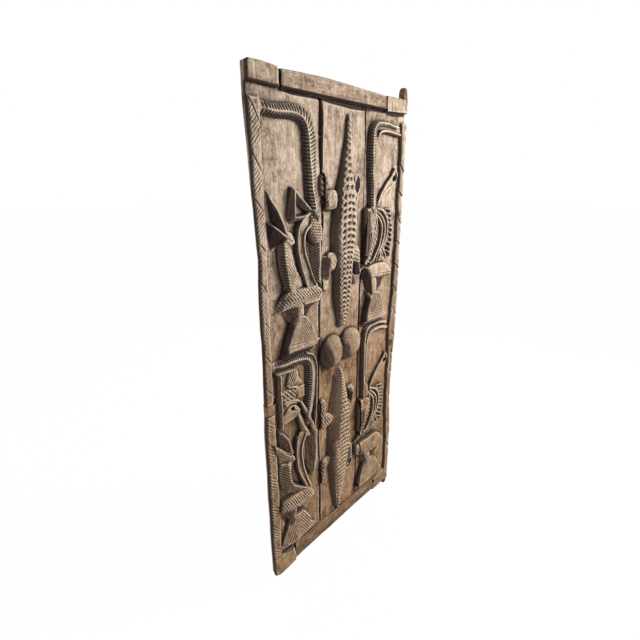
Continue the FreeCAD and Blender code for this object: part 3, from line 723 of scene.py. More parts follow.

# Where shade is painted on the left plank, with some soot: the rise that its outline is seen at, how dark,
# and the outline
LEFT_SHADE_AND_SOOT = (
    (14, 1.0, (58, 1458), (94, 1430), (124, 1406), (104, 1390), (64, 1370), (54, 1420)),
    (12, 0.95, (58, 1550), (84, 1500), (108, 1452), (122, 1414), (84, 1444), (68, 1466), (62, 1506)),
    (16, 0.6, (230, 1230), (268, 1230), (284, 1330), (262, 1396), (240, 1420), (226, 1380), (222, 1330)),
    (8, 1.0, (78, 984), (94, 1024), (116, 1080), (130, 1106), (146, 1106), (124, 1060), (106, 1024),
        (110, 996), (200, 992), (256, 990), (240, 974), (94, 972)),
    (8, 0.7, (54, 1150), (98, 1216), (124, 1216), (100, 1180), (96, 1160)),
    (8, 0.8, (92, 1160), (166, 1166), (160, 1112), (130, 1100), (112, 1120)),
    (10, 0.9, (200, 1164), (262, 1160), (226, 1112), (204, 1118)),
    (8, 0.5, (60, 690), (98, 636), (108, 600), (116, 566), (92, 590), (64, 640)),
    (12, 0.5, (56, 350), (54, 528), (88, 528), (96, 440), (90, 360)),
    (14, 0.5, (200, 400), (196, 600), (236, 600), (240, 470), (226, 396)),
    (6, 0.8, (48, 282), (100, 290), (110, 240), (96, 222), (72, 240)),
)


@dataclass
class LeftCarving:
    """The two horned beasts of the left plank, with the calf before each one."""

    horn_rise: float = 21.0
    upper_pitch: float = 11.5
    lower_pitch: float = 10.5

    def horns(self, relief: Relief) -> None:
        """Lays the paired ribbed horns over both beasts."""
        relief.horns([(44, 1786), (95, 1783), (182, 1784), (212, 1775), (228, 1758), (236, 1737),
            (240, 1705), (244, 1658), (248, 1618), (252, 1578), (257, 1546), (264, 1510), (270, 1486)],
            ((0, 20), (134, 28), (197, 36), (241, 40), (290, 36), (369, 29), (440, 22)),
            ((0, 17), (241, 19), (290, 21), (369, 25), (440, 31)),
            self.horn_rise, self.upper_pitch, (8.0, 17.0))
        relief.horns([(50, 958), (100, 957), (157, 954), (206, 944), (229, 926), (238, 900), (239, 860),
            (234, 806), (226, 757), (214, 700), (208, 662)],
            ((0, 20), (160, 22), (230, 26), (520, 24)), ((0, 20), (150, 22), (250, 26), (520, 16)),
            self.horn_rise, self.lower_pitch, (8.0, 16.0),
            flank_shade=(((0, 0.9), (190, 0.8), (250, 0.3)), ((0, 0.15), (150, 0.2), (210, 0.85))))
        relief.band(curved([(212, 966), (246, 948), (262, 915), (265, 860), (262, 760), (254, 660),
            (248, 560)]), 9, 19, slope=4)

    def straps(self, relief: Relief) -> None:
        """Lays the bent neck strap of each beast, with two raised edges and a hollow between."""
        straps = (
            (seen_at(23, (238, 1474), (214, 1458), (194, 1434), (188, 1404), (187, 1372), (192, 1338),
                (203, 1292), (216, 1258), (230, 1222)), seen_at(24, (256, 1464), (250, 1446), (232, 1430),
                (218, 1412), (213, 1390), (213, 1366), (221, 1336), (236, 1296), (254, 1256), (276, 1218))),
            (seen_at(20, (158, 612), (150, 566), (150, 505), (157, 460), (174, 412), (202, 352)),
                seen_at(22, (200, 612), (184, 582), (176, 545), (175, 505), (182, 462), (194, 420),
                (209, 376), (224, 334))),
        )
        for left, right in straps:
            pairs = zip(resampled(left, 9), resampled(right, 9))
            between = [(0.5 * (a[0] + b[0]), 0.5 * (a[1] + b[1])) for a, b in pairs]
            relief.band(curved(between), 34, 18, slope=5, crown=0)
            relief.band(curved(left), 10, 21, slope=5, crown=3)
            relief.band(curved(right), 12, 25, slope=6, crown=3)

    def carve(self, relief: Relief) -> None:
        """Lays both panels of the plank."""
        self.horns(relief)
        for figure in (*LEFT_UPPER_EARS, *LEFT_UPPER_HEADS, *LEFT_UPPER_BASE, *LEFT_PLAQUE,
                *LEFT_LOWER_EARS, *LEFT_LOWER_FIGURES):
            relief.carve(figure)
        self.straps(relief)
        relief.shade_and_soil_table(LEFT_SHADE_AND_SOOT, 8.0)


# The head, body and bell base of the upper beast of the right plank
RIGHT_UPPER_FIGURES = [
    Carving([(560, 1480), (616, 1486), (636, 1478), (634, 1440), (620, 1390), (600, 1340), (580, 1290),
        (560, 1290)], 27, slope=4, crown=4, crown_reach=18, smooth=False, cuts=(Part([(572, 1478),
        (640, 1478), (634, 1398), (572, 1392)], (Strokes(-14, 9, 3.0), Strokes(62, 11, 2.4))),
        Score([(580, 1392), (622, 1396)], 5, 6), Score([(576, 1378), (574, 1310)], 6, 7),
        Score([(592, 1380), (586, 1320)], 7, 7))),
    Carving([(578, 1232), (586, 1246), (636, 1252), (698, 1248), (734, 1226), (752, 1196), (700, 1190),
        (606, 1192), (584, 1204)], 29, slope=4, crown=4, crown_reach=16, cuts=(Score([(606, 1204),
        (660, 1203), (748, 1196)], 3.5, 3.5), Strokes(-50, 12, 0.9))),
    Carving([(552, 1234), (566, 1248), (590, 1228), (608, 1188), (614, 1128), (602, 1116), (588, 1118),
        (568, 1160), (552, 1206)], 24, slope=4, crest=[(615, 1114), (610, 1180), (590, 1226), (568, 1250)],
        falls=(0.75, 0.3), cuts=(Strokes(-62, 8, 1.6),)),
    Carving([(614, 1196), (644, 1196), (652, 1128), (616, 1118)], 22, slope=5),
    Carving([(652, 1196), (752, 1196), (740, 1178), (700, 1178), (660, 1180)], 23, slope=4,
        crest=[(650, 1192), (752, 1192)], falls=(0.3, 0.8)),
    Carving(seen_at(8, (562, 990), (566, 976), (640, 972), (706, 974), (736, 992), (734, 1006),
        (580, 1008)), 15, slope=5, crown=8, crown_reach=22),
    Carving(seen_at(23, (600, 1120), (640, 1126), (680, 1118), (704, 1096), (720, 1054), (734, 1018),
        (736, 994), (656, 992), (580, 992)) + seen_at(6, (560, 990), (562, 1024), (574, 1070), (588, 1106)),
        26, slope=4, crest=seen_at(24, (580, 986), (584, 1024), (600, 1070), (618, 1112)),
        falls=(0.8, 0.02), cuts=(Part(seen_at(25, (586, 1026), (656, 1024), (736, 1020), (706, 1104),
        (612, 1122)), (Strokes(58, 7.5, 2.6), Strokes(-46, 9.0, 2.2))), Score(seen_at(25, (576, 1024),
        (640, 1018), (736, 1012)), 4.0, 4.0), Score(seen_at(25, (576, 1010), (640, 1005), (736, 1000)), 3.5,
        2.5))),
]

# The head, body and bell base of the lower beast of the right plank
RIGHT_LOWER_FIGURES = [
    Carving(seen_at(22, (560, 606), (606, 604), (632, 596), (640, 570), (630, 540), (612, 500), (590, 440),
        (556, 440)), 26, slope=4, crown=4, smooth=False, cuts=(Score(seen_at(24, (576, 540), (576, 460)), 7,
        7), Score(seen_at(24, (594, 530), (588, 470)), 7, 7), Score(seen_at(24, (566, 560), (626, 556)), 5,
        5))),
    Carving(seen_at(20, (590, 682), (606, 684), (624, 664), (630, 620), (610, 600), (588, 610)), 20,
        slope=6),
    Carving(seen_at(26, (546, 350), (562, 362), (640, 358), (706, 358), (738, 340), (774, 300), (784, 272),
        (736, 268), (640, 274), (556, 300)), 27, slope=4, crown=5, crown_reach=20,
        cuts=(Strokes(-50, 12, 0.9),)),
    Carving(seen_at(22, (544, 344), (564, 356), (600, 318), (622, 274), (630, 232), (612, 226), (580, 250),
        (548, 300)), 24, slope=4, crest=seen_at(24, (632, 228), (622, 276), (600, 322), (566, 360)),
        falls=(0.75, 0.3), cuts=(Strokes(-62, 8, 1.6),)),
    Carving(seen_at(22, (624, 276), (654, 280), (664, 238), (640, 226)), 21, slope=5),
    Carving(seen_at(22, (648, 282), (776, 276), (742, 256), (700, 262)), 22, slope=4, crest=seen_at(22,
        (648, 276), (772, 270)), falls=(0.3, 0.8)),
    Carving(seen_at(20, (612, 236), (650, 240), (700, 224), (730, 180), (756, 134), (772, 104), (660, 94),
        (558, 100), (566, 128), (584, 180)), 25, slope=5, crest=seen_at(25, (576, 80), (590, 150),
        (630, 230)), falls=(0.9, 0.05), cuts=(Part(seen_at(25, (590, 90), (620, 236), (700, 230),
        (774, 90)), (Strokes(-52, 10, 2.4),)),)),
]

# Where shade is painted on the right plank, with some soot, in the same way
RIGHT_SHADE_AND_SOOT = (
    (12, 0.7, (546, 1470), (580, 1470), (586, 1400), (600, 1330), (580, 1270), (548, 1290)),
    (14, 0.95, (552, 1232), (568, 1244), (594, 1214), (612, 1180), (620, 1120), (600, 1114), (560, 1190)),
    (10, 0.9, (656, 1186), (728, 1184), (700, 1134), (664, 1126), (654, 1150)),
    (8, 0.95, (560, 988), (562, 1024), (574, 1070), (590, 1108), (602, 1104), (584, 1060), (576, 1024),
        (578, 994), (700, 990), (712, 984), (700, 974), (566, 974)),
    (10, 0.7, (552, 560), (582, 560), (590, 470), (560, 440)),
    (10, 0.7, (548, 346), (562, 346), (600, 290), (622, 236), (600, 226), (560, 286)),
    (10, 0.8, (664, 268), (770, 270), (730, 246), (690, 232), (660, 240)),
)


@dataclass
class RightCarving:
    """The two maned beasts of the right plank."""

    strand_width: float = 13.0
    strand_rise: float = 22.0
    lower_drop: Point = (-8.0, -842.0)

    def horns(self, relief: Relief) -> None:
        """Lays the paired horns: ribbed round the bend and down, smooth along the top."""
        relief.horns([(786, 1794), (700, 1799), (650, 1799), (622, 1792), (606, 1776), (598, 1752),
            (597, 1700), (599, 1650), (602, 1600), (606, 1550), (609, 1480)],
            ((0, 9), (120, 12), (170, 22), (240, 32), (480, 29)), ((0, 8), (120, 9), (200, 18), (480, 21)),
            21.0, 10.6, (8.0, 17.0), ribs_from=120.0,
            flank_shade=(((0, 0.2), (200, 0.3)), ((0, 0.2), (150, 0.3), (200, 0.9))))
        relief.band(curved([(786, 1766), (700, 1772), (655, 1768), (636, 1754)]), 12, 19, slope=5, crown=4)
        relief.band([(640, 1786), (786, 1780)], 22, 8, slope=5, crown=0)
        relief.horns([(762, 950), (698, 966), (640, 969), (604, 962), (588, 946), (580, 915), (579, 860),
            (582, 760), (586, 600)],
            ((0, 9), (100, 10), (200, 14), (520, 13)), ((0, 8), (140, 10), (520, 13)),
            20.0, 11.0, (5.0, 15.0), ribs_from=110.0, skew=0.55,
            flank_shade=(((0, 0.2),), ((0, 0.2), (160, 0.3), (230, 0.85))))
        relief.horns([(766, 921), (718, 936), (658, 940), (624, 933), (605, 915), (597, 880), (595, 800),
            (594, 735)], ((0, 9), (90, 11), (180, 14), (320, 13)), ((0, 8), (320, 9)),
            19.0, 12.0, (5.0, 8.0), ribs_from=70.0, skew=0.55, flank_shade=(((0, 0.2),), ((0, 0.3),)))

    def mane(self, relief: Relief, shift: Point) -> None:
        """Lays the curved strands of one mane and the thin tufts at their right."""
        moved = partial(moved_by, shift)
        relief.carve(Carving(moved(12, (650, 1474), (700, 1474), (735, 1450), (752, 1400), (742, 1340),
            (716, 1290), (716, 1252), (566, 1246), (596, 1290), (630, 1350), (642, 1400)), 10, slope=8,
            cuts=(Strokes(-40, 17, 3.0),)))
        strands = (
            ((648, 1462), (648, 1412), (632, 1368), (612, 1322), (590, 1276), (548, 1230)),
            ((652, 1456), (678, 1422), (687, 1384), (680, 1344), (662, 1306), (638, 1270), (618, 1252)),
            ((662, 1464), (692, 1434), (708, 1400), (708, 1364), (694, 1330), (668, 1290), (664, 1262)),
            ((660, 1476), (694, 1464), (722, 1430), (730, 1392), (724, 1356), (704, 1318)),
        )
        for places in strands:
            relief.band(curved(moved(self.strand_rise, *places)), self.strand_width, self.strand_rise,
                slope=5.0, crown=5.0, ends=6.0)
        relief.band(curved(moved(18, (690, 1300), (684, 1278), (676, 1256))), 11, 18, slope=5, ends=5)
        relief.band(curved(moved(18, (708, 1300), (722, 1276), (734, 1262))), 11, 17, slope=5, ends=5)
        for index in range(10):
            z = 1473 - 19.5 * index
            bow = math.sin(math.pi * (index + 1) / 12)
            start, reach = 704 + 24 * bow, 44 + 5 * math.sin(index * 2.3)
            tuft = moved(16, (start, z), (start + 0.55 * reach, z - 2 - index),
                (start + reach, z - 10 - 2.2 * index))
            relief.band(curved(tuft), 8.0, 17 + 2 * math.sin(index * 1.7), slope=4, crown=3, ends=6)

    def stick(self, relief: Relief, shift: Point) -> None:
        """Lays the spoon shaped stick before a beast, with a hole through its broad end."""
        moved = partial(moved_by, shift)
        relief.carve(Carving(moved(9, (640, 1496), (690, 1556), (756, 1628), (778, 1612), (776, 1586),
            (736, 1556), (690, 1530)), 9, slope=5))
        relief.band(curved(moved(14, (650, 1496), (676, 1538), (708, 1568), (744, 1600), (768, 1630))), 13,
            14, slope=4, crown=3)
        relief.band(curved(moved(13, (652, 1500), (690, 1536), (738, 1560), (772, 1584), (784, 1608),
            (770, 1628))), 11, 13, slope=4, crown=3)
        relief.pit(moved(9, (760, 1596))[0], (15, 13), 12.0)

    def carve(self, relief: Relief) -> None:
        """Lays both panels of the plank."""
        self.horns(relief)
        for shift in ((0.0, 0.0), self.lower_drop):
            self.stick(relief, shift)
            self.mane(relief, shift)
        for figure in RIGHT_UPPER_FIGURES + RIGHT_LOWER_FIGURES:
            relief.carve(figure)
        relief.shade_and_soil_table(RIGHT_SHADE_AND_SOOT, 8.0)


@dataclass(frozen=True)
class Crocodile:
    """One crocodile seen from above, as sections down its back.

    Each section is its height, its left foot, left crest, right crest and right foot across the
    door, and the share of the full rise that it reaches.
    """

    sections: tuple
    rows: tuple
    column_pitch: float
    staggered: bool
    pit_depth: float
    wave: float = 0.0
    wave_below: float = 1350.0
    full_rise: float = 33.0

    def lay(self, relief: Relief) -> None:
        """Lays the body with its flanks and the rows of scutes down its back."""
        table = np.array(self.sections)[::-1]
        heights = table[:, 0]
        where = relief.window([(table[:, 1].min(), heights[0]), (table[:, 4].max(), heights[-1])], 6)
        x, z = relief.hand_x[where], relief.hand_z[where]
        feet = [np.interp(z, heights, table[:, k]) for k in (1, 2, 3, 4)]
        rise = self.full_rise * np.interp(z, heights, table[:, 5])
        left_flank = np.clip((x - feet[0]) / np.maximum(feet[1] - feet[0], 3.0), 0, 1)
        right_flank = np.clip((feet[3] - x) / np.maximum(feet[3] - feet[2], 3.0), 0, 1)
        body = np.minimum(left_flank, right_flank)
        body = np.where(body < 1, np.sin(body * 0.5 * math.pi) ** 0.9, 1.0)
        middle = 0.5 * (feet[1] + feet[2])
        half = np.maximum(0.5 * (feet[2] - feet[1]), 4.0)
        crown = 3.0 * np.clip(1 - ((x - middle) / half) ** 2, -0.5, 1)
        count = np.maximum(np.round(2 * half / self.column_pitch), 1.0)
        column = (x - middle + 2.0) / (2 * half) * count + 0.5 * count
        wave = self.wave * np.cos(2 * math.pi * column) * ease((self.wave_below - z) / 40.0)
        numbers = np.arange(len(self.rows), dtype=float)
        row = np.interp(z + 0.006 * (x - middle) ** 2 + wave, self.rows[::-1], numbers)
        if self.staggered:
            column = column + 0.5 * np.mod(np.floor(row + 0.5), 2.0)
        off_row = np.abs(np.mod(row, 1.0) - 0.5) * 2.0
        off_column = np.abs(np.mod(column, 1.0) - 0.5) * 2.0
        holes = ease(1.45 - np.hypot(off_row / 0.62, off_column / 0.72) * 1.1)
        troughs = 0.55 * ease((0.62 - off_row) / 0.5)
        pits = self.pit_depth * np.maximum(holes, troughs)
        on_back = ease((half + 5.0 - np.abs(x - middle)) / 5.0)
        ends = ease((z - heights[0]) / 10.0) * ease((heights[-1] - z) / 10.0)
        flank_cuts = 2.4 * notches(z + 0.6 * np.abs(x - middle), 11.0, 0.5)
        top = rise + crown - pits * on_back * np.clip(rise / 18.0, 0.45, 1) - flank_cuts * (1 - on_back)
        relief.lay(where, np.maximum(top, 0) * body * ends)


# The backs of the crocodiles from the upper end down, and the heights of their rows of scutes
UPPER_BACK = ((1815, 455, 456, 462, 465, 0.2), (1785, 447, 450, 464, 468, 0.35),
    (1752, 441, 446, 463, 470, 0.42), (1708, 435, 442, 463, 474, 0.5), (1671, 425, 438, 462, 478, 0.58),
    (1635, 415, 432, 462, 480, 0.66), (1606, 407, 426, 463, 484, 0.76), (1578, 398, 418, 466, 488, 0.84),
    (1554, 391, 411, 470, 492, 0.9), (1500, 378, 401, 477, 499, 0.97), (1474, 372, 399, 480, 502, 1.0),
    (1418, 362, 397, 481, 503, 1.0), (1377, 360, 396, 479, 503, 1.0), (1337, 362, 396, 468, 496, 1.0),
    (1270, 370, 398, 461, 490, 0.97), (1215, 378, 398, 460, 486, 0.94), (1154, 374, 399, 457, 481, 0.88),
    (1101, 385, 409, 453, 471, 0.78), (1065, 395, 415, 446, 459, 0.65), (1030, 399, 419, 438, 447, 0.5),
    (1010, 403, 421, 432, 440, 0.35))
LOWER_BACK = ((842, 400, 406, 412, 417, 0.2), (820, 390, 413, 427, 434, 0.36),
    (799, 381, 416, 434, 443, 0.5), (738, 368, 416, 442, 456, 0.62), (690, 354, 414, 448, 464, 0.74),
    (629, 346, 408, 454, 473, 0.84), (560, 342, 400, 460, 481, 0.88), (470, 340, 390, 463, 486, 0.9),
    (390, 342, 384, 460, 484, 0.88), (322, 351, 388, 450, 474, 0.82), (241, 363, 394, 436, 458, 0.74),
    (189, 373, 399, 429, 446, 0.64), (128, 383, 403, 421, 434, 0.5), (74, 399, 410, 417, 424, 0.28))
UPPER_ROWS = (1812, 1792, 1776, 1758, 1737, 1719, 1698, 1675, 1652, 1627, 1605, 1578, 1546, 1519, 1496,
    1472, 1446, 1420, 1398, 1374, 1353, 1333, 1313, 1293, 1273, 1253, 1233, 1213, 1193, 1173, 1153, 1133,
    1114, 1095, 1077, 1060, 1044, 1028, 1010)
LOWER_ROWS = tuple(range(846, 684, -13)) + tuple(range(672, 60, -21))
CROCODILES = (
    Crocodile(UPPER_BACK, UPPER_ROWS, 25.0, False, 7.5, wave=3.5),
    Crocodile(LOWER_BACK, LOWER_ROWS, 21.0, True, 6.5),
)

# The thighs, legs and feet of both crocodiles
SCORED = (Strokes(-40, 15, 1.6),)
CLAWS = (Strokes(-42, 11.0, 6.0, 0.5),)
LIMBS = [
    Carving(seen_at(22, (322, 1520), (345, 1550), (386, 1554), (400, 1530), (396, 1494), (365, 1484),
        (334, 1488)), 22, crown=8, crown_reach=20, cuts=(Strokes(40, 14, 2.4),)),
    Carving(seen_at(14, (303, 1598), (322, 1612), (341, 1600), (345, 1572), (336, 1546), (322, 1530),
        (305, 1546)), 17, slope=6, crown=6, cuts=(Strokes(-30, 17, 6.0),)),
    Carving([(462, 1556), (500, 1552), (520, 1530), (512, 1500), (500, 1478), (466, 1486)], 19, crown=7,
        crown_reach=18, cuts=SCORED),
    Carving(seen_at(22, (336, 1312), (352, 1330), (390, 1322), (400, 1290), (380, 1262), (358, 1256),
        (340, 1270)), 23, crown=8, crown_reach=18, cuts=SCORED),
    Carving(seen_at(14, (302, 1306), (318, 1320), (342, 1314), (346, 1262), (342, 1234), (306, 1234)), 19,
        slope=4, crest=seen_at(16, (342, 1232), (344, 1318)), falls=(0.6, 0.3)),
    Carving(seen_at(14, (294, 1224), (316, 1236), (340, 1230), (345, 1208), (330, 1187), (306, 1187),
        (294, 1204)), 17, slope=6, crown=7, crown_reach=12),
    Carving(seen_at(20, (470, 1334), (500, 1344), (528, 1334), (540, 1308), (536, 1274), (500, 1278),
        (474, 1290)), 21, crown=6, crown_reach=16, cuts=(Strokes(-20, 15, 3.0),)),
    Carving(seen_at(18, (515, 1284), (538, 1284), (542, 1250), (548, 1226), (532, 1204), (514, 1222)), 18,
        slope=4, crown=3, cuts=CLAWS),
    Carving(seen_at(12, (486, 1206), (494, 1224), (516, 1226), (530, 1210), (526, 1190), (506, 1183),
        (490, 1188)), 14, slope=6, crown=6, crown_reach=12),
    Carving(seen_at(14, (284, 700), (298, 724), (318, 716), (328, 690), (322, 652), (302, 642), (288, 660)),
        17, slope=6, crown=6, cuts=(Strokes(-56, 11, 5.0),)),
    Carving(seen_at(16, (290, 644), (308, 658), (334, 644), (372, 620), (366, 586), (334, 576), (300, 576),
        (290, 598)), 19, crown=7, crown_reach=14, cuts=(Strokes(-56, 12, 4.0),)),
    Carving([(462, 716), (496, 722), (516, 690), (512, 640), (492, 604), (452, 590), (446, 634), (478, 650),
        (482, 690)], 21, crown=7, crown_reach=14, cuts=(Strokes(-52, 12, 4.0),)),
    Carving(seen_at(14, (290, 304), (306, 296), (318, 334), (328, 368), (352, 384), (352, 412), (320, 420),
        (300, 410), (290, 372)), 18, crown=7, crown_reach=16, cuts=(Strokes(-58, 12, 3.5),)),
    Carving([(446, 436), (486, 428), (508, 396), (510, 316), (494, 290), (466, 296), (478, 324), (480, 382),
        (446, 398)], 21, crown=7, crown_reach=14, cuts=CLAWS),
]

# Where shade is painted on the centre plank, with some soot, in the same way
CENTRE_SHADE_AND_SOOT = (
    (10, 0.55, (302, 1604), (340, 1606), (342, 1560), (326, 1532), (304, 1540)),
    (10, 0.8, (302, 1308), (318, 1318), (338, 1308), (340, 1240), (304, 1238)),
    (10, 0.5, (488, 1184), (488, 1222), (528, 1222), (528, 1186)),
    (10, 0.7, (398, 846), (378, 790), (356, 700), (352, 650), (372, 616), (352, 570), (340, 490),
        (388, 490), (402, 600), (410, 700), (414, 800)),
    (26, 0.6, (338, 500), (340, 400), (372, 190), (396, 80), (404, 240), (394, 400), (388, 500)),
    (30, 0.75, (296, 960), (332, 988), (346, 950), (368, 892), (372, 846), (330, 846), (298, 880)),
    (30, 0.75, (414, 962), (440, 950), (470, 920), (477, 880), (480, 846), (440, 846), (412, 890)),
)


@dataclass
class CentreCarving:
    """The two crocodiles of the centre plank and the pair of breasts between them."""

    breast_rise: float = 44.0

    def openings(self, relief: Relief) -> None:
        """The hollows that the bent legs enclose, painted dark as shade, and the painted shade on the
        shaded sides.
        """
        relief.dome(seen_at(4, (507, 1574))[0], (22, 42), 9.0)
        hollows = (
            (4, (507, 1606), (494, 1580), (493, 1560), (506, 1541), (520, 1560), (521, 1586)),
            (0, (486, 1226), (484, 1262), (492, 1278), (514, 1274), (514, 1224)),
            (0, (464, 622), (462, 680), (472, 698), (496, 694), (502, 640), (488, 622)),
            (0, (464, 282), (462, 330), (472, 346), (500, 342), (504, 296), (486, 280)),
        )
        for level, *places in hollows:
            relief.shaded_hollow(seen_at(level, *places), 6.0, 5.0)
        relief.shade_and_soil_table(CENTRE_SHADE_AND_SOOT, 14.0)

    def carve(self, relief: Relief) -> None:
        """Lays the plank's carving, the bodies over their limbs."""
        for limb in LIMBS:
            relief.carve(limb)
        for crocodile in CROCODILES:
            crocodile.lay(relief)
        relief.dome((364.0, 922.0), (67.0, 73.0), self.breast_rise)
        relief.dome((480.0, 926.0), (69.0, 71.0), self.breast_rise)
        self.openings(relief)


@dataclass
class SideBorders:
    """The raised borders down both outer edges, with their cut zigzags, and the four end blocks."""

    left_width: float = 46.0
    left_rise: float = 11.0
    right_rise: float = 14.0

    def blocks(self, relief: Relief) -> None:
        """Raises the end blocks that close the battens' places."""
        outlines = (
            ([(-20, 1850), (123, 1849), (121, 1880), (122, 1920), (-20, 1920)], 2.5),
            ([(688, 1843), (770, 1846), (860, 1850), (860, 1920), (688, 1920)], 2.5),
            ([(-20, -20), (128, -20), (124, 40), (114, 82), (60, 85), (-20, 84)], 7.0),
            ([(694, -20), (860, -20), (860, 70), (780, 74), (694, 60)], 24.0),
        )
        for outline, slope in outlines:
            relief.carve(Carving(outline, BLOCK_RISE, slope=slope, crown=1.0, crown_reach=6, smooth=False))

    def recesses(self, relief: Relief) -> None:
        """Hollows the ground under the upper batten and the right block and paints their shadow there."""
        hollows = (
            seen_at(-3, (104, 1850), (108, 1844), (130, 1838), (170, 1833), (300, 1834), (400, 1830),
                (470, 1826), (520, 1829), (600, 1833), (664, 1833), (670, 1850)),
            seen_at(-3, (650, 1841), (662, 1836), (690, 1828), (730, 1827), (770, 1830), (800, 1834),
                (850, 1842), (850, 1846)),
        )
        for outline in hollows:
            relief.shaded_hollow(outline, 5.0, 6.0)
        # Painted shadow under the upper left block, in the gap at the upper batten's left end, and painted
        # shade above the lower left block
        relief.shade_and_soil(seen_at(4, (-12, 1854), (112, 1853), (112, 1844), (-12, 1845)), 1.0, 2.0)
        relief.shade_and_soil([(124, 1840), (146, 1840), (146, 1910), (124, 1910)], 1.0, 2.0)
        relief.shade_and_soil(seen_at(4, (50, 108), (108, 104), (110, 90), (84, 88), (52, 96)), 0.8, 4.0)
        # A hollow under the lower right bell, painted dark as its shadow
        under_bell = seen_at(0, (550, 96), (610, 90), (690, 80), (694, 62), (610, 68), (548, 76))
        relief.shaded_hollow(under_bell, 4.0, 4.0)

    def left(self, relief: Relief) -> None:
        """Raises the left border and cuts its diagonals and hatched triangles."""
        relief.carve(Carving([(-20, 60), (self.left_width, 60), (self.left_width + 3, 400),
            (self.left_width - 2, 900), (self.left_width + 2, 1400), (self.left_width, 1812), (-20, 1814)],
            self.left_rise, slope=9, crown=1, smooth=False))
        diagonals = (((8, 1808), (44, 1745)), ((8, 1665), (52, 1598)), ((12, 1532), (54, 1482)),
            ((20, 1397), (60, 1353)), ((2, 1292), (54, 1220)), ((22, 1134), (54, 1092)),
            ((18, 1012), (50, 968)), ((14, 888), (40, 856)))
        for (start, end), (below, _) in zip(diagonals, diagonals[1:] + (((8, 824), (46, 800)),)):
            hatched = [start, end, (end[0] - 8, below[1] + 30), (8, below[1] + 8)]
            relief.engrave(hatched, (Strokes(47, 9.6, 2.8, 0.5),))
            relief.score([start, end], 4.0, 4.0)
            relief.score([(end[0] - 2, end[1] - 4), (below[0] + 2, below[1] + 6)], 3.0, 1.5)
        for high, low in ((768, 690), (668, 560), (535, 402), (385, 292), (272, 180), (160, 92)):
            leaf = [(5, high), (50, 0.5 * (high + low) - 6), (5, low)]
            relief.engrave(leaf, (Strokes(-40, 11.0, 3.2, 0.5),))
            relief.score([leaf[0], leaf[1]], 4.0, 3.0)
            relief.score([leaf[1], leaf[2]], 4.0, 2.5)
        for line in ([(36, 1540), (110, 1400)], [(54, 1552), (104, 1494)]):
            relief.score(line, 3.0, 2.0)

    def right(self, relief: Relief) -> None:
        """Raises the right border with its worn inner edge and cuts its slanting strokes."""
        heights = (60, 300, 360, 500, 800, 860, 900, 960, 1150, 1300, 1500, 1640, 1815)
        places = (806, 805, 797, 788, 787, 780, 780, 786, 803, 806, 803, 808, 803)
        inner = [(float(np.interp(z, heights, places)) + 0.5 + 1.6 * math.sin(z / 19.0), z)
            for z in range(60, 1816, 12)]
        relief.carve(Carving([(860, 60)] + inner + [(860, 1812)], self.right_rise, slope=9, crown=1.5,
            smooth=False))
        strokes = (((818, 1462), (786, 1436), (834, 1408)), ((802, 1660), (842, 1622)),
            ((806, 1546), (842, 1520)), ((802, 1336), (846, 1304)), ((794, 1232), (846, 1192)),
            ((790, 1124), (842, 1084)), ((790, 1024), (838, 972)), ((790, 900), (826, 874)),
            ((786, 798), (826, 770)), ((786, 690), (820, 668)), ((780, 560), (820, 520)),
            ((790, 400), (826, 362)), ((786, 260), (838, 208)))
        for line in strokes:
            line = [(max(x, 806.0), z) for x, z in line]
            relief.band(line, 6.0, self.right_rise + 2.0, slope=3.0, crown=1.0)
            relief.score([(x + 2, z - 9) for x, z in line], 12.0, 4.0)
        relief.shade_and_soil(seen_at(8, (776, 856), (806, 852), (800, 820), (782, 822)), 0.9, 4.0)
        relief.shade_and_soil([(796, 70)] + inner[:8] + inner[-60:] + [(826, 1700), (822, 900)], 0.32, 12.0)

    def outer_bevels(self, relief: Relief) -> None:
        """Wears down the outer long edges of the leaf and the edges of the seams, and paints shade along
        the left arris and beside the seams.
        """
        left = relief.x - outer_left(relief.z)
        right = outer_right(relief.z) - relief.x
        below_block = ease((1816 - relief.z) / 6) * ease((relief.z - 84) / 8)
        relief.rise -= 6.0 * (1 - ease(left / 12.0)) * below_block
        relief.rise -= 2.5 * (1 - ease(left / 4.0)) + 2.5 * (1 - ease(right / 4.0))
        # Painted shade on the worn arris down the left edge
        relief.shade_and_dirt = np.maximum(relief.shade_and_dirt, (1 - ease(left / 9.0 - 0.3)) * 0.9)
        for seam, gap in ((left_seam, left_gap), (right_seam, right_gap)):
            opening = gap(relief.z)
            past = np.abs(relief.x - seam(relief.z)) - opening
            bare = ease((16.0 - relief.rise) / 10.0)
            relief.rise -= (1.0 + 1.4 * opening) * (1 - ease(past / 4.0)) * bare
            # Painted shade beside the seams, where the gap lies in shade
            relief.shade_and_dirt = np.maximum(relief.shade_and_dirt, bare * (1 - ease(past / 3.0)))

    def carve(self, relief: Relief) -> None:
        """Lays borders and blocks, then wears their edges."""
        self.recesses(relief)
        self.left(relief)
        self.right(relief)
        self.blocks(relief)
        self.outer_bevels(relief)


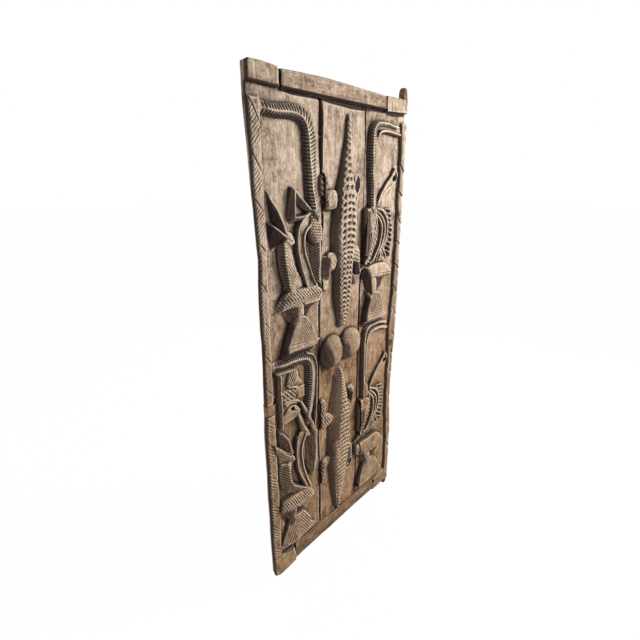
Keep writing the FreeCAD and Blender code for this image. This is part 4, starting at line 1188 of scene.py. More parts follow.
class Number:
    """A number that varies over a surface. Its operators add Math nodes."""

    def __init__(self, nodes: "Nodes", socket: bpy.types.NodeSocket) -> None:
        """Holds the output socket that carries the number, and the tree that it is in."""
        self.nodes, self.socket = nodes, socket

    def operate(self, operation: str, *others: object, held: bool = False) -> "Number":
        """Adds one Math node that starts with this number."""
        settings = {"operation": operation, "use_clamp": held}
        return self.nodes.node("ShaderNodeMath", settings, dict(enumerate((self, *others))))

    __add__ = __radd__ = partialmethod(operate, "ADD")
    __sub__ = partialmethod(operate, "SUBTRACT")
    __mul__ = __rmul__ = partialmethod(operate, "MULTIPLY")
    __abs__ = partialmethod(operate, "ABSOLUTE")

    def __rsub__(self, other: float) -> "Number":
        """Another number less this one."""
        return self.nodes.node("ShaderNodeMath", {"operation": "SUBTRACT"}, {0: other, 1: self})

    def held(self) -> "Number":
        """The number kept between 0 and 1."""
        return self.operate("ADD", 0.0, held=True)

    def step(self, low: float, high: float) -> "Number":
        """A soft step from 0 to 1 while the number goes from low to high."""
        return self.nodes.node("ShaderNodeMapRange", {"interpolation_type": "SMOOTHSTEP"},
            {"Value": self, "From Min": low, "From Max": high})


class Nodes:
    """The node tree of one material or of the room."""

    def __init__(self, owner: bpy.types.Material | bpy.types.World) -> None:
        """Starts with the bare shader of what it belongs to."""
        self.owner = owner
        owner.use_nodes = True
        self.tree = owner.node_tree
        self.shader = self.tree.nodes.get("Principled BSDF") or self.tree.nodes["Background"]

    def node(self, kind: str, settings: dict | None = None, inputs: dict | None = None,
            output: int | str = 0) -> Number:
        """Adds a node.

        Args:
            kind: the node's type.
            settings: what is set first; "stops" are a ramp's (place, colour) pairs.
            inputs: numbers, colours or links by the socket's name or index.
            output: the output to use, by name or index.

        Returns:
            The chosen output.
        """
        made = self.tree.nodes.new(kind)
        for key, value in (settings or {}).items():
            if key == "stops":
                elements = made.color_ramp.elements
                while len(elements) < len(value):
                    elements.new(1.0)
                for element, (place, colour) in zip(elements, value):
                    element.position, element.color = place, (*colour, 1.0)
            else:
                setattr(made, key, value)
        for key, value in (inputs or {}).items():
            self.feed(made.inputs[key], value)
        return Number(self, made.outputs[output])

    def feed(self, socket: bpy.types.NodeSocket, value: object) -> None:
        """Links a number to a socket or sets the socket's own value."""
        if isinstance(value, Number):
            self.tree.links.new(value.socket, socket)
        elif isinstance(value, (tuple, list, Vector)) and socket.type == "RGBA":
            socket.default_value = (*value, 1.0) if len(value) == 3 else value
        else:
            socket.default_value = value

    def noise(self, scale: Sequence[float], detail: float = 4.0, rough: float = 0.55, shift: float = 0.0,
            bend: float = 0.0) -> Number:
        """Noise on the object's own coordinates, stretched by three scales per metre."""
        place = self.node("ShaderNodeTexCoord", output="Object")
        place = self.node("ShaderNodeMapping", {}, {"Vector": place, "Scale": tuple(scale),
            "Location": (shift, 2 * shift, 3 * shift)})
        return self.node("ShaderNodeTexNoise", {}, {"Vector": place, "Scale": 1.0, "Detail": detail,
            "Roughness": rough, "Distortion": bend})

    def seen(self) -> Number:
        """1 where the camera sees a surface, straight on, mirrored or through another."""
        kinds = ("Is Camera Ray", "Is Glossy Ray", "Is Transmission Ray")
        rays = [self.node("ShaderNodeLightPath", output=kind) for kind in kinds]
        return (rays[0] + rays[1] + rays[2]).held()

    def attribute(self, name: str) -> Number:
        """A value that the mesh holds for each of its points."""
        return self.node("ShaderNodeAttribute", {"attribute_name": name}, output="Fac")

    def blend(self, share: object, first: object, second: object, way: str = "MIX") -> Number:
        """Two colours mixed by a share."""
        settings = {"data_type": "RGBA", "blend_type": way}
        return self.node("ShaderNodeMix", settings, {0: share, 6: first, 7: second}, output=2)


class Grain(Enum):
    """Which way the fibres of a piece of wood run."""

    UPRIGHT = (1.0, 1.0, 0.0)
    ACROSS = (0.0, 1.0, 1.0)


@dataclass(frozen=True)
class OldWood:
    """Dry hewn wood: grey and brown fibres, painted shade with dirt and soot, and rubbed high places with a
    painted highlight.
    """

    name: str
    grain: Grain
    deep: Colour = (0.085, 0.056, 0.041)
    middle: Colour = (0.33, 0.255, 0.185)
    pale: Colour = (0.56, 0.465, 0.36)
    # Colours for painted shade and dirt in hollows and cracks, for rubbed wear with a painted highlight,
    # and for painted shade and soot on faces turned from the light
    shade_and_dirt: Colour = (0.034, 0.020, 0.017)
    rubbed: Colour = (0.68, 0.58, 0.45)
    shade_and_soot: Colour = (0.031, 0.0195, 0.018)
    low_tint: Colour = (0.64, 0.49, 0.355)
    high_tint: Colour = (1.06, 1.03, 1.04)
    shift: float = 0.0

    def along(self, across: float, along: float) -> Triple:
        """Three scales for a pattern that follows the fibres."""
        return tuple(across if way else along for way in self.grain.value)

    def dress(self) -> bpy.types.Material:
        """Makes the material."""
        wood = Nodes(bpy.data.materials.new(self.name))
        streaks = wood.noise(self.along(150, 7), 6.0, 0.62, self.shift, 0.6)
        fibre = wood.noise(self.along(620, 14), 3.0, 0.6, self.shift + 1.7)
        patches = wood.noise((7, 7, 5), 4.0, 0.6, self.shift + 3.1)
        spots = wood.noise((46, 46, 30), 4.0, 0.6, self.shift + 5.3)
        specks = wood.noise((190, 190, 120), 3.0, 0.65, self.shift + 9.4)
        checks = abs(wood.noise(self.along(34, 1.7), 3.0, 0.5, self.shift + 7.9, 0.8) - 0.5)
        check = 1.0 - checks.step(0.0, 0.012)
        hollow, high, stained = (wood.attribute(mark) for mark in SURFACE_MARKS)
        tone = 0.16 * streaks + 0.12 * fibre + 0.34 * patches + 0.46 * spots + 0.34 * specks - 0.71
        # High places are lightened: rubbed wear and a painted highlight
        tone = (tone * 2.8 + 0.5 + 0.2 * high).held()
        colour = wood.node("ShaderNodeValToRGB", {"stops": ((0.1, self.deep), (0.46, self.middle),
            (0.9, self.pale))}, {"Fac": tone}, "Color")
        # Darker and browner towards the foot of the door, a little lighter towards its top
        place = wood.node("ShaderNodeTexCoord", output="Object")
        up = wood.node("ShaderNodeSeparateXYZ", {}, {"Vector": place}, "Z")
        up = (up + 0.5 * patches - 0.25).step(0.7, 1.6)
        tint = wood.blend(up, self.low_tint, self.high_tint)
        colour = wood.blend(1.0, colour, tint, "MULTIPLY")
        # Rubbed wear on high places, also a painted highlight
        colour = wood.blend((high * (0.35 + 0.5 * spots)).held(), colour, self.rubbed)
        # Painted shade and dirt in hollows and cracks
        shade_and_grime = (hollow * (0.7 + 0.6 * spots) + 0.5 * check * (1.0 - high)).held()
        # Painted shade and soot on faces turned from the light
        colour = wood.blend((stained * (0.86 + 0.34 * spots)).held(), colour, self.shade_and_soot)
        colour = wood.blend(shade_and_grime, colour, self.shade_and_dirt)
        wood.feed(wood.shader.inputs["Base Color"], colour)
        wood.feed(wood.shader.inputs["Roughness"], 0.86 - 0.22 * high)
        wood.shader.inputs["Specular IOR Level"].default_value = 0.12
        height = 0.4 * streaks + 0.4 * fibre + 0.25 * spots + 0.5 * specks - 0.8 * check
        bump = wood.node("ShaderNodeBump", {}, {"Height": height, "Strength": 0.55, "Distance": 0.0012},
            "Normal")
        wood.feed(wood.shader.inputs["Normal"], bump)
        return wood.owner


@dataclass(frozen=True)
class ForgedIron:
    """Old hand forged iron, nearly black, with rust in its pits."""

    name: str = "forged_iron"
    black: Colour = (0.028, 0.024, 0.022)
    rust: Colour = (0.16, 0.065, 0.03)

    def dress(self) -> bpy.types.Material:
        """Makes the material."""
        iron = Nodes(bpy.data.materials.new(self.name))
        pits = iron.noise((520, 520, 520), 4.0, 0.6)
        rusty = iron.noise((150, 150, 150), 3.0, 0.6, 2.0).step(0.42, 0.62)
        iron.feed(iron.shader.inputs["Base Color"], iron.blend(rusty, self.black, self.rust))
        iron.feed(iron.shader.inputs["Roughness"], 0.5 + 0.35 * rusty)
        iron.shader.inputs["Metallic"].default_value = 0.6
        bump = iron.node("ShaderNodeBump", {}, {"Height": pits, "Strength": 0.6, "Distance": 0.0005},
            "Normal")
        iron.feed(iron.shader.inputs["Normal"], bump)
        return iron.owner


def place_piece(bm: BMesh, name: str, material: bpy.types.Material, slot: str,
        *nodes: str) -> bpy.types.Object:
    """Turns a finished bmesh into a piece of the door.

    Args:
        bm: the shape, in metres in the part's frame; it is freed.
        name: the piece's name.
        material: its finish.
        slot: the record's slot that the finish belongs to; not used.
        nodes: the CAD nodes that it stands for.

    Returns:
        The new object, which rides on the leaf.
    """
    bmesh.ops.recalc_face_normals(bm, faces=bm.faces)
    for face in bm.faces:
        face.smooth = True
    mesh = bpy.data.meshes.new(name)
    bm.to_mesh(mesh)
    bm.free()
    mesh.materials.append(material)
    piece = bpy.data.objects.new(name, mesh)
    bpy.context.collection.objects.link(piece)
    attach(piece, "root")
    if nodes:
        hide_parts(*nodes)
    log.info("%s: %d points", name, len(mesh.vertices))
    return piece


def soften_rims(bm: BMesh, rims: list[BMEdge], width: float) -> None:
    """Rounds edges over a width in millimetres."""
    bmesh.ops.bevel(bm, geom=rims, offset=width * MM, segments=2, profile=0.5, affect="EDGES", material=-1)


def grown_ring(bm: BMesh, ring: list[BMEdge]) -> tuple[list[BMVert], list[BMEdge]]:
    """Extrudes an open ring of edges and gives the new points and the new ring."""
    grown = bmesh.ops.extrude_edge_only(bm, edges=ring)["geom"]
    verts = [each for each in grown if isinstance(each, BMVert)]
    return verts, [each for each in grown if isinstance(each, BMEdge) and each.is_boundary]


def at_start(share: float) -> bool:
    """Whether a share of the way is its very start."""
    return share < 0.001


def at_end(share: float) -> bool:
    """Whether a share of the way is its very end."""
    return share > 0.999


def steady(value: float) -> Edge:
    """An edge that stays at one place."""
    return lambda along: np.full(np.shape(along), float(value))


def flat(depth: float) -> Face:
    """A back without tool marks."""
    return lambda x, z: np.full(x.shape, depth)


@dataclass
class HewnBoard:
    """A board with a carved or worn face, wandering edges and a roughly dressed back.

    The edges are functions: left and right of the height, low and high of the way across. The face
    gives the rise above the planks' ground and the back the depth of its tool marks.
    """

    name: str
    slot: str
    node: str
    left: Edge
    right: Edge
    low: Edge
    high: Edge
    face: Face
    back: Face
    back_left: Edge | None = None
    back_right: Edge | None = None
    back_y: float = BACK_Y
    marks: dict[str, Face] = field(default_factory=dict)
    # The sides that lie in a seam, and the left arris near the face, are painted dark as shade
    dark_sides: tuple[bool, bool] = (False, False)
    shaded_arris_depth: float = 0.0
    step: float = 1.9
    back_step: float = 7.0
    rough_side: float = 0.7
    real_ends: tuple[bool, bool] = (True, True)
    ring_depths: tuple = (0.06, 0.22, 0.45, 0.7, 0.93)

    def spread(self, u: Array, v: Array, behind: bool) -> tuple[Array, Array]:
        """The place across and up of a share of the board, at its face or at its back."""
        left, right = self.left, self.right
        if behind:
            left, right = self.back_left or left, self.back_right or right
        middle = np.full(u.shape, 0.5 * DOOR_WIDTH)
        z = self.low(middle) * (1 - v) + self.high(middle) * v
        x = left(z) * (1 - u) + right(z) * u
        z = self.low(x) * (1 - v) + self.high(x) * v
        return x, z

    def points(self, u: Array, v: Array, depth: float) -> Array:
        """Points of the board, in metres, from its face at depth 0 to its back at 1."""
        face_x, face_z = self.spread(u, v, False)
        face_y = GROUND_Y - self.face(face_x, face_z)
        back_x, back_z = self.spread(u, v, True)
        back_y = self.back_y - self.back(back_x, back_z)
        x = face_x + (back_x - face_x) * depth
        y = face_y + (back_y - face_y) * depth
        z = face_z + (back_z - face_z) * depth
        if 0 < depth < 1:
            gouge = self.rough_side * (0.5 + 0.5 * Wander(31, 9, 23)(y * 3 + 400, z + x))
            x = x + gouge * np.where(u < 1e-6, 1.0, np.where(u > 1 - 1e-6, -1.0, 0.0))
            lower, upper = self.real_ends
            z = z + gouge * np.where(v < 1e-6, float(lower), 0.0)
            z = z - gouge * np.where(v > 1 - 1e-6, float(upper), 0.0)
        return np.stack([x + LEFT_EDGE_X, y, z], axis=-1) * MM

    def sheet(self, bm: BMesh, step: float, depth: float) -> list[BMVert]:
        """Adds the face or the back as one grid."""
        middle = np.array([0.5 * DOOR_WIDTH])
        tall = float((self.high(middle) - self.low(middle))[0])
        middle = np.array([0.5 * DOOR_HEIGHT])
        wide = float((self.right(middle) - self.left(middle))[0])
        made = bmesh.ops.create_grid(bm, x_segments=max(int(wide / step), 2),
            y_segments=max(int(tall / step), 2), size=0.5)["verts"]
        across, up = bm.verts.layers.float["across"], bm.verts.layers.float["up"]
        for vert in made:
            vert[across], vert[up] = vert.co.x + 0.5, vert.co.y + 0.5
        self.settle(bm, made, depth)
        return made

    def settle(self, bm: BMesh, verts: list[BMVert], depth: float) -> None:
        """Moves points to their places at one depth."""
        across, up = bm.verts.layers.float["across"], bm.verts.layers.float["up"]
        u = np.array([vert[across] for vert in verts])
        v = np.array([vert[up] for vert in verts])
        for vert, place in zip(verts, self.points(u, v, depth).tolist()):
            vert.co = place

    def mark(self, bm: BMesh, verts: list[BMVert]) -> None:
        """Notes on each point of the face its painted shade and dirt, its painted shade and soot, and its
        rubbed wear with painted highlight.
        """
        x = np.array([vert.co.x for vert in verts]) / MM - LEFT_EDGE_X
        z = np.array([vert.co.z for vert in verts]) / MM
        for name, of_face in self.marks.items():
            layer = bm.verts.layers.float[name]
            for vert, value in zip(verts, of_face(x, z).tolist()):
                vert[layer] = value

    def shade_sides(self, bm: BMesh, verts: list[BMVert], depth: float) -> None:
        """Paints shade on the sides that lie in a seam and on the left arris near the face, and clears the
        rest to a faint hollow mark.
        """
        across = bm.verts.layers.float["across"]
        layers = {name: bm.verts.layers.float[name] for name in SURFACE_MARKS}
        for vert in verts:
            at_left, at_right = at_start(vert[across]), at_end(vert[across])
            dark = float(at_left and self.dark_sides[0] or at_right and self.dark_sides[1])
            if at_left and depth < self.shaded_arris_depth:
                dark = 0.9
            vert[layers["rubbed"]], vert[layers["stained"]] = 0.0, dark
            vert[layers["hollow"]] = max(0.8 * dark, 0.2)

    def sharpen_joins(self, bm: BMesh, edges: list[BMEdge]) -> None:
        """Keeps the shading level across an end that only joins the next length."""
        up = bm.verts.layers.float["up"]
        lower, upper = self.real_ends
        for edge in edges:
            shares = [vert[up] for vert in edge.verts]
            if at_start(max(shares)) and not lower or at_end(min(shares)) and not upper:
                edge.smooth = False

    def build(self, material: bpy.types.Material) -> bpy.types.Object:
        """Makes the board as one closed piece."""
        bm = bmesh.new()
        for name in ("across", "up", *SURFACE_MARKS):
            bm.verts.layers.float.new(name)
        front = self.sheet(bm, self.step, 0.0)
        self.mark(bm, front)
        ring = [edge for edge in bm.edges if edge.is_boundary]
        self.sharpen_joins(bm, ring)
        for depth in self.ring_depths:
            verts, ring = grown_ring(bm, ring)
            self.settle(bm, verts, depth)
            self.shade_sides(bm, verts, depth)
        behind = set(self.sheet(bm, self.back_step, 1.0))
        rear = [edge for edge in bm.edges if edge.is_boundary and edge.verts[0] in behind]
        self.sharpen_joins(bm, rear)
        # The seam sides at the back are painted dark as shade too
        across, stained = bm.verts.layers.float["across"], bm.verts.layers.float["stained"]
        for vert in {vert for edge in rear for vert in edge.verts}:
            at_left, at_right = at_start(vert[across]), at_end(vert[across])
            vert[stained] = float(at_left and self.dark_sides[0] or at_right and self.dark_sides[1])
        bmesh.ops.bridge_loops(bm, edges=ring + rear)
        for name in ("across", "up"):
            bm.verts.layers.float.remove(bm.verts.layers.float[name])
        return place_piece(bm, self.name, material, self.slot, self.node)


@dataclass
class Planks:
    """The three joined planks of the leaf, each cut from one relief, with a dressed back."""

    relief: Relief
    joins: Point = (636.0, 1268.0)
    step: float = 1.62
    # How far back from the face the left arris is painted dark as shade, as a share of the thickness
    shaded_arris_depth: float = 0.3

    def back(self, x: Array, z: Array) -> Array:
        """The depth of the adze marks on the back."""
        marks = Wander(41, 38, 55)(x, z) + 0.5 * Wander(42, 12, 60)(x, z)
        to_seam = np.minimum(np.abs(x - left_seam(z)), np.abs(x - right_seam(z)))
        return 1.3 + 0.7 * marks + 1.6 * (1 - ease(to_seam / 5.0))

    def build(self) -> None:
        """Makes each plank in three lengths that meet in two lines."""
        relief = self.relief
        wood = OldWood("weathered_wood", Grain.UPRIGHT).dress()
        sides = {
            "left_plank": (lambda z: outer_left(z) + let_in(z), lambda z: left_seam(z) - left_gap(z),
                lambda z: outer_left_back(z) + 0.5 * let_in(z), left_seam),
            "centre_plank": (lambda z: left_seam(z) + left_gap(z), lambda z: right_seam(z) - right_gap(z),
                left_seam, right_seam),
            "right_plank": (lambda z: right_seam(z) + right_gap(z), outer_right, right_seam,
                lambda z: outer_right(z) - 1.0),
        }
        joins = [steady(z) for z in self.joins]
        lengths = {
            "lower": (lambda x: 1.0 + 0.8 * np.sin(x / 41.0), joins[0], (True, False)),
            "middle": (joins[0], joins[1], (False, False)),
            "upper": (joins[1], plank_top, (False, True)),
        }
        maps = (relief.shade, relief.rubbed, relief.shade_and_soot)
        marks = {mark: partial(relief.at, of_map=of_map) for mark, of_map in zip(SURFACE_MARKS, maps)}
        for plank, (left, right, back_left, back_right) in sides.items():
            for part, (low, high, ends) in lengths.items():
                if (plank, part) == ("left_plank", "lower"):
                    low = left_foot
                HewnBoard(name=f"{plank}_{part}", slot="weathered_wood", node=plank, left=left, right=right,
                    low=low, high=high, back_left=back_left, back_right=back_right, face=relief.at,
                    back=self.back, real_ends=ends, marks=marks, step=self.step,
                    dark_sides=(plank != "left_plank", plank != "right_plank"),
                    shaded_arris_depth=self.shaded_arris_depth * (plank == "left_plank")).build(wood)


@dataclass
class Battens:
    """The worn battens that are nailed over the planks between the end blocks."""

    thickness: float = 13.0
    bevel: float = 7.0
    top_ends: Point = (133.0, 683.5)
    bottom_ends: Point = (126.5, 697.5)
    wood: OldWood = OldWood("batten_wood", Grain.ACROSS, middle=(0.27, 0.2, 0.135), pale=(0.52, 0.43, 0.33),
        shift=11.0)

    def worn(self, low: Edge, high: Edge, left: float, right: float) -> Face:
        """The rounding of a batten's four edges."""
        def drop(x: Array, z: Array) -> Array:
            """How far the face falls off at each place."""
            up_down = np.minimum(z - low(x), high(x) - z)
            ends = np.minimum(x - left, right - x)
            return 4.5 * (1 - ease(up_down / self.bevel)) + 3.0 * (1 - ease(ends / 4.0))
        return drop

    def top(self) -> HewnBoard:
        """The upper batten, which sags between its ends and has a long check in it."""
        def low(x: Array) -> Array:
            """Its sagging lower edge."""
            return 1846.5 + 0.8 * np.sin(x / 29.0)

        def high(x: Array) -> Array:
            """Its upper edge."""
            return np.interp(x, (126, 200, 330, 450, 600, 684),
                (1898.5, 1902.5, 1904.5, 1903.5, 1899, 1897.5)) + 0.5 * np.sin(x / 43.0)

        drop = self.worn(low, high, *self.top_ends)
        grain = Wander(51, 130, 4.5)
        lumps = Wander(52, 42, 13)

        def face(x: Array, z: Array) -> Array:
            """Its worn face."""
            check = 1862.0 + 5.0 * np.sin(x / 90.0) + 0.02 * (x - 300)
            split = 2.2 * np.exp(-((z - check) / 1.6) ** 2) * ease((x - 250) / 60) * ease((560 - x) / 60)
            under = 9.0 * ease((1854.0 - z) / 7.0)
            return self.thickness - drop(x, z) + 0.8 * grain(x, z) + 0.9 * lumps(x, z) - split - under

        return self.board("top_batten", low, high, self.top_ends, face, drop, 1854.5)

    def bottom(self) -> HewnBoard:
        """The lower batten, with a rubbed ledge over a hollowed lower half."""
        def low(x: Array) -> Array:
            """Its lower edge."""
            return 1.2 + 0.8 * np.sin(x / 37.0)

        def high(x: Array) -> Array:
            """Its upper edge, higher at the left."""
            return np.interp(x, (126, 300, 520, 698), (86, 80, 71, 65.4)) + 0.5 * np.sin(x / 31.0)

        drop = self.worn(low, high, *self.bottom_ends)
        grain = Wander(53, 120, 5.0)
        lumps = Wander(54, 40, 12)

        def face(x: Array, z: Array) -> Array:
            """Its worn face."""
            ledge = high(x) - 26.0 + 3.0 * np.sin(x / 70.0)
            under = 3.6 * ease((ledge - z) / 9.0) * (0.55 + 0.45 * lumps(x * 0.6, z))
            above = 2.5 * ease((z - ledge - 4.0) / 18.0)
            return self.thickness - drop(x, z) - under - above + 0.8 * grain(x, z) + 0.8 * lumps(x, z)

        return self.board("bottom_batten", low, high, self.bottom_ends, face, drop, 0.0)

    def board(self, name: str, low: Edge, high: Edge, ends: Point, face: Face, drop: Face,
            shade_below: float) -> HewnBoard:
        """A batten as a board that lies on the planks, painted dark as shade below one height."""
        def hollow(x: Array, z: Array) -> Array:
            """Painted shade and dirt where the face lies low."""
            return np.clip((self.thickness - 0.8 - drop(x, z) - face(x, z)) / 4.0, 0, 0.8)

        def rubbed(x: Array, z: Array) -> Array:
            """Rubbed wood along the edges, also a painted highlight."""
            off = drop(x, z)
            return np.clip(off, 0, 1.5) / 1.5 * np.clip(3.0 - off, 0, 1) * 0.6

        def shaded_below_edge(x: Array, z: Array) -> Array:
            """Painted shade along the lower edge."""
            return ease((shade_below - z) / 3.0 + 0.5)

        return HewnBoard(name=name, slot="batten_wood", node=name, left=steady(ends[0]),
            right=steady(ends[1]), low=low, high=high, face=face, back=flat(0.0), back_y=GROUND_Y,
            marks={"hollow": hollow, "rubbed": rubbed, "stained": shaded_below_edge}, dark_sides=(True, True),
            step=2.2, back_step=12.0, rough_side=0.5)

    def build(self) -> None:
        """Makes both battens."""
        material = self.wood.dress()
        self.top().build(material)
        self.bottom().build(material)


@dataclass
class EdgePatch:
    """The piece of other wood that is let into the left edge and pegged there."""

    left: float = 18.0
    front_left: float = 5.0
    right: float = 45.0
    low: float = 774.0
    high: float = 816.0
    peg_from: float = 15.0
    peg_to: float = 69.5
    peg_radii: Point = (3.4, 3.1)
    seat_gap: float = 1.4
    seat_depth: float = 20.0
    knot: Point = (50.0, 818.0)

    def seat(self, relief: Relief) -> None:
        """Cuts the notch that the patch sits in, and the dark knot hole at its corner."""
        right, low, high = self.right + self.seat_gap, self.low - self.seat_gap, self.high + self.seat_gap
        relief.sink([(-20, low), (right, low), (right, high), (-20, high)], self.seat_depth)
        relief.pit(self.knot, (11.0, 13.0), 24.0)

    def build(self) -> None:
        """Makes the patch."""
        wood = OldWood("patch_wood", Grain.UPRIGHT, middle=(0.3, 0.22, 0.15), pale=(0.5, 0.4, 0.3),
            shift=23.0)
        lumps = Wander(61, 14, 20)

        def face(x: Array, z: Array) -> Array:
            """Its face, worn down at the edges."""
            off = np.minimum(np.minimum(z - self.low, self.high - z), self.right - x)
            worn = 2.5 * (1 - ease(off / 5.0)) + 4.0 * (1 - ease((x - self.front_left) / 10.0))
            return 10.2 - worn + 0.7 * lumps(x, z)

        HewnBoard(name="edge_patch_worn", slot="patch_wood", node="edge_patch",
            left=steady(self.front_left), back_left=steady(self.left), right=steady(self.right),
            low=lambda x: self.low + 0.8 * np.sin(x / 9.0),
            high=lambda x: self.high - 0.8 + 0.8 * np.sin(x / 7.0), face=face, back=flat(0.25),
            step=1.8, back_step=6.0).build(wood.dress())
        bm = bmesh.new()
        middle = Vector((LEFT_EDGE_X + 0.5 * (self.peg_from + self.peg_to), 0.5 * (GROUND_Y + BACK_Y),
            0.5 * (self.low + self.high)))
        along = Matrix.Rotation(math.radians(90), 4, "Y")
        wide, narrow = self.peg_radii
        bmesh.ops.create_cone(bm, cap_ends=True, segments=14, radius1=wide * MM, radius2=narrow * MM,
            depth=(self.peg_to - self.peg_from) * MM, matrix=Matrix.Translation(middle * MM) @ along)
        soften_rims(bm, [edge for edge in bm.edges if len({round(v.co.x, 5) for v in edge.verts}) == 1],
            0.6)
        peg_wood = OldWood("peg_wood", Grain.ACROSS, middle=(0.2, 0.13, 0.08), shift=43.0)
        place_piece(bm, "edge_patch_peg_whittled", peg_wood.dress(), "dowel_wood", "edge_patch_peg")


@dataclass
class Nails:
    """Hand forged nails with flat, uneven heads and square shanks."""

    head_radius: float = 4.8
    head_thickness: float = 2.0
    head_taper: float = 0.72
    head_rim: float = 0.35
    shank_radius: float = 2.0
    shank_taper: float = 0.4
    shank_length: float = 29.0
    shank_overlap: float = 0.3
    front_y: float = -16.9

    def one(self, bm: BMesh, x: float, z: float, rng: np.random.Generator) -> None:
        """Adds one nail to a mesh."""
        toward = Matrix.Rotation(math.radians(90), 4, "X")
        middle_y = self.front_y + 0.5 * self.head_thickness
        place = Matrix.Translation(Vector((x + LEFT_EDGE_X, middle_y, z)) * MM) @ toward
        head = bmesh.ops.create_cone(bm, cap_ends=True, segments=11, radius1=self.head_radius * MM,
            radius2=self.head_taper * self.head_radius * MM, depth=self.head_thickness * MM,
            matrix=place)["verts"]
        for vert in head:
            vert.co += Vector(rng.uniform(-1, 1, 3) * (0.4, 0.12, 0.4)) * MM
        soften_rims(bm, [edge for edge in bm.edges if edge.verts[0] in head and edge.verts[1] in head],
            self.head_rim)
        start = self.front_y + self.head_thickness - self.shank_overlap
        place = Matrix.Translation(Vector((x + LEFT_EDGE_X, start + 0.5 * self.shank_length, z)) * MM)
        bmesh.ops.create_cone(bm, cap_ends=True, segments=4, radius1=self.shank_radius * MM,
            radius2=self.shank_taper * self.shank_radius * MM, depth=self.shank_length * MM,
            matrix=place @ Matrix.Rotation(math.radians(-90), 4, "X"))

    def build(self) -> None:
        """Makes both rows."""
        iron = ForgedIron().dress()
        rng = np.random.default_rng(71)
        rows = (
            ("top_batten_nails", (0.196, 0.319, 0.411, 0.649, 0.786), 1874.5),
            ("bottom_batten_nails", (0.205, 0.322, 0.425, 0.625, 0.79), 33.0),
        )
        for node, shares, z in rows:
            bm = bmesh.new()
            for share in shares:
                self.one(bm, share * DOOR_WIDTH, z, rng)
            place_piece(bm, f"{node}_forged", iron, "forged_iron", node)


@dataclass
class Pivots:
    """The two pivots that are whittled from the ends of the right plank."""

    radius: float = 16.6
    sides: int = 40

    def whittled(self, name: str, rings: Sequence[Triple], seed: int, wood: bpy.types.Material) -> None:
        """Makes a pivot from rings of height, share of the radius and squareness."""
        facets = Wander(seed, 8.0, 13.0)
        bm = bmesh.new()
        for mark in SURFACE_MARKS:
            bm.verts.layers.float.new(mark)
        shade_and_dirt = bm.verts.layers.float["hollow"]
        verts = bmesh.ops.create_circle(bm, cap_ends=True, segments=self.sides, radius=1.0)["verts"]
        ring = list(bm.edges)
        for index, (z, share, square) in enumerate(rings):
            if index:
                verts, ring = grown_ring(bm, ring)
            for vert in verts:
                turn = math.atan2(vert.co.y, vert.co.x)
                flat = abs(math.cos(turn)) ** square + abs(math.sin(turn)) ** square
                chip = float(facets(np.array(turn * 12.0 + 60), np.array(z + 30.0)))
                reach = self.radius * share * flat ** (-1.0 / square) * (0.965 + 0.035 * chip)
                vert.co = Vector((math.cos(turn) * reach, math.sin(turn) * reach, z)) * MM
                vert[shade_and_dirt] = 0.25 + 0.2 * abs(chip)
        bmesh.ops.contextual_create(bm, geom=ring)
        place_piece(bm, name, wood, "weathered_wood", "right_plank")

    def build(self) -> None:
        """Makes both pivots."""
        wood = OldWood("pivot_wood", Grain.UPRIGHT, shift=31.0, middle=(0.2, 0.14, 0.095)).dress()
        upper = ((1890, 1.0, 3.4), (1902, 1.0, 3.4), (1912, 0.985, 3.0), (1922, 0.97, 2.8),
            (1930, 0.955, 2.6), (1936, 0.92, 2.4), (1940.5, 0.84, 2.2), (1943.6, 0.7, 2.1),
            (1945.2, 0.48, 2.0), (1945.8, 0.2, 2.0))
        lower = ((10, 1.0, 3.0), (-3, 0.98, 2.8), (-12, 0.94, 2.5), (-20, 0.9, 2.3), (-27, 0.84, 2.2),
            (-31.5, 0.74, 2.1), (-34.4, 0.56, 2.0), (-35.7, 0.28, 2.0))
        self.whittled("upper_pivot", upper, 81, wood)
        self.whittled("lower_pivot", lower, 82, wood)


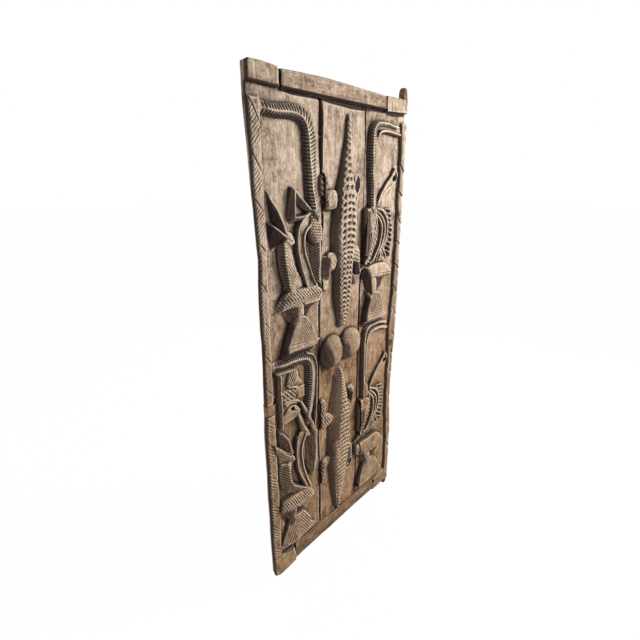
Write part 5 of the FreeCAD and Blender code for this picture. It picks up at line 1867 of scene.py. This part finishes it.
@dataclass
class Studio:
    """The pale floor, the soft lamps and the camera."""

    floor_z: float = -0.036
    floor_size: float = 30.0
    floor_grey: float = 0.9
    camera_place: Triple = (-1.6057, -1.0083, 1.5795)
    camera_right: Triple = (0.67737, -0.73561, -0.0071)
    camera_up: Triple = (0.24291, 0.21455, 0.94602)
    lens: float = 22.5
    floor_glow: float = 0.985
    leaf_middle: Triple = (-0.4, 0.0, 0.95)
    lamps: tuple = (
        ("key", (1.9, -1.8, 2.35), 0.9, 160.0, (1.0, 0.97, 0.93)),
        ("fill", (-0.6, -3.6, 2.4), 2.6, 26.0, (0.95, 0.97, 1.0)),
        ("side", (-3.2, 1.3, 1.6), 1.8, 40.0, (0.93, 0.95, 1.0)),
        ("rear", (0.9, 2.8, 2.6), 2.2, 70.0, (1.0, 1.0, 1.0)),
    )

    def floor(self) -> None:
        """Lays a pale floor that shows the leaf's shadow."""
        bm = bmesh.new()
        bmesh.ops.create_grid(bm, x_segments=1, y_segments=1, size=self.floor_size,
            matrix=Matrix.Translation((0, 0, self.floor_z)))
        mesh = bpy.data.meshes.new("floor")
        bm.to_mesh(mesh)
        bm.free()
        paint = Nodes(bpy.data.materials.new("floor_paint"))
        paint.shader.inputs["Base Color"].default_value = (*(self.floor_grey,) * 3, 1)
        paint.shader.inputs["Roughness"].default_value = 0.9
        glow = paint.node("ShaderNodeEmission", {}, {"Color": (1, 1, 1), "Strength": 1.0})
        own = Number(paint, paint.shader.outputs[0])
        mixed = paint.node("ShaderNodeMixShader", {}, {0: paint.seen() * self.floor_glow, 1: own, 2: glow})
        paint.feed(paint.tree.nodes["Material Output"].inputs["Surface"], mixed)
        mesh.materials.append(paint.owner)
        floor = bpy.data.objects.new("floor", mesh)
        bpy.context.collection.objects.link(floor)

    def sky(self) -> None:
        """Lights the room evenly and shows it white."""
        world = bpy.data.worlds.new("room")
        bpy.context.scene.world = world
        room = Nodes(world)
        white, soft = (room.node("ShaderNodeBackground", {}, {"Color": colour, "Strength": strength})
            for colour, strength in (((1, 1, 1), 1.0), ((0.93, 0.95, 1.0), 0.2)))
        mixed = room.node("ShaderNodeMixShader", {}, {0: room.seen(), 1: soft, 2: white})
        room.feed(room.tree.nodes["World Output"].inputs["Surface"], mixed)

    def lamp(self, name: str, place: Vector, aim: Vector, size: float, power: float,
            colour: Colour) -> None:
        """Hangs one square lamp."""
        light = bpy.data.lights.new(name, "AREA")
        light.size, light.energy, light.color = size, power, colour
        lamp = bpy.data.objects.new(name, light)
        lamp.location = place
        lamp.rotation_euler = (aim - place).to_track_quat("-Z", "Y").to_euler()
        bpy.context.collection.objects.link(lamp)

    def camera(self) -> None:
        """Stands the camera at the left of the leaf, at eye height."""
        data = bpy.data.cameras.new("camera")
        data.lens, data.sensor_width, data.clip_start = self.lens, 36.0, 0.01
        camera = bpy.data.objects.new("camera", data)
        right, up = Vector(self.camera_right).normalized(), Vector(self.camera_up).normalized()
        back = right.cross(up).normalized()
        up = back.cross(right)
        turn = Matrix((right, up, back)).transposed().to_4x4()
        camera.matrix_world = Matrix.Translation(self.camera_place) @ turn
        bpy.context.collection.objects.link(camera)
        bpy.context.scene.camera = camera

    def build(self) -> None:
        """Sets up the whole studio."""
        bpy.context.scene.view_settings.view_transform = "Standard"
        self.camera()
        self.floor()
        self.sky()
        for name, place, size, power, colour in self.lamps:
            self.lamp(name, Vector(place), Vector(self.leaf_middle), size, power, colour)


def dress_hidden_pieces() -> None:
    """Gives the pieces that lie inside the wood, and keep their plain shape, their own near black finish,
    painted shade where the open seams show them.
    """
    wood = OldWood("dowel_wood", Grain.ACROSS, middle=(0.05, 0.033, 0.022), pale=(0.09, 0.06, 0.04),
        shift=41.0).dress()
    for node in ("left_seam_dowels", "right_seam_dowels"):
        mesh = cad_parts[node].data
        mesh.materials.clear()
        mesh.materials.append(wood)
        log.info("%s: dressed", node)


def main() -> None:
    """Builds the door piece by piece, then the studio."""
    Studio().build()
    relief = Relief()
    SideBorders().carve(relief)
    LeftCarving().carve(relief)
    RightCarving().carve(relief)
    CentreCarving().carve(relief)
    patch = EdgePatch()
    patch.seat(relief)
    relief.finish()
    log.info("relief carved")
    Planks(relief).build()
    Battens().build()
    patch.build()
    Nails().build()
    Pivots().build()
    dress_hidden_pieces()


if __name__ == "__main__":
    main()
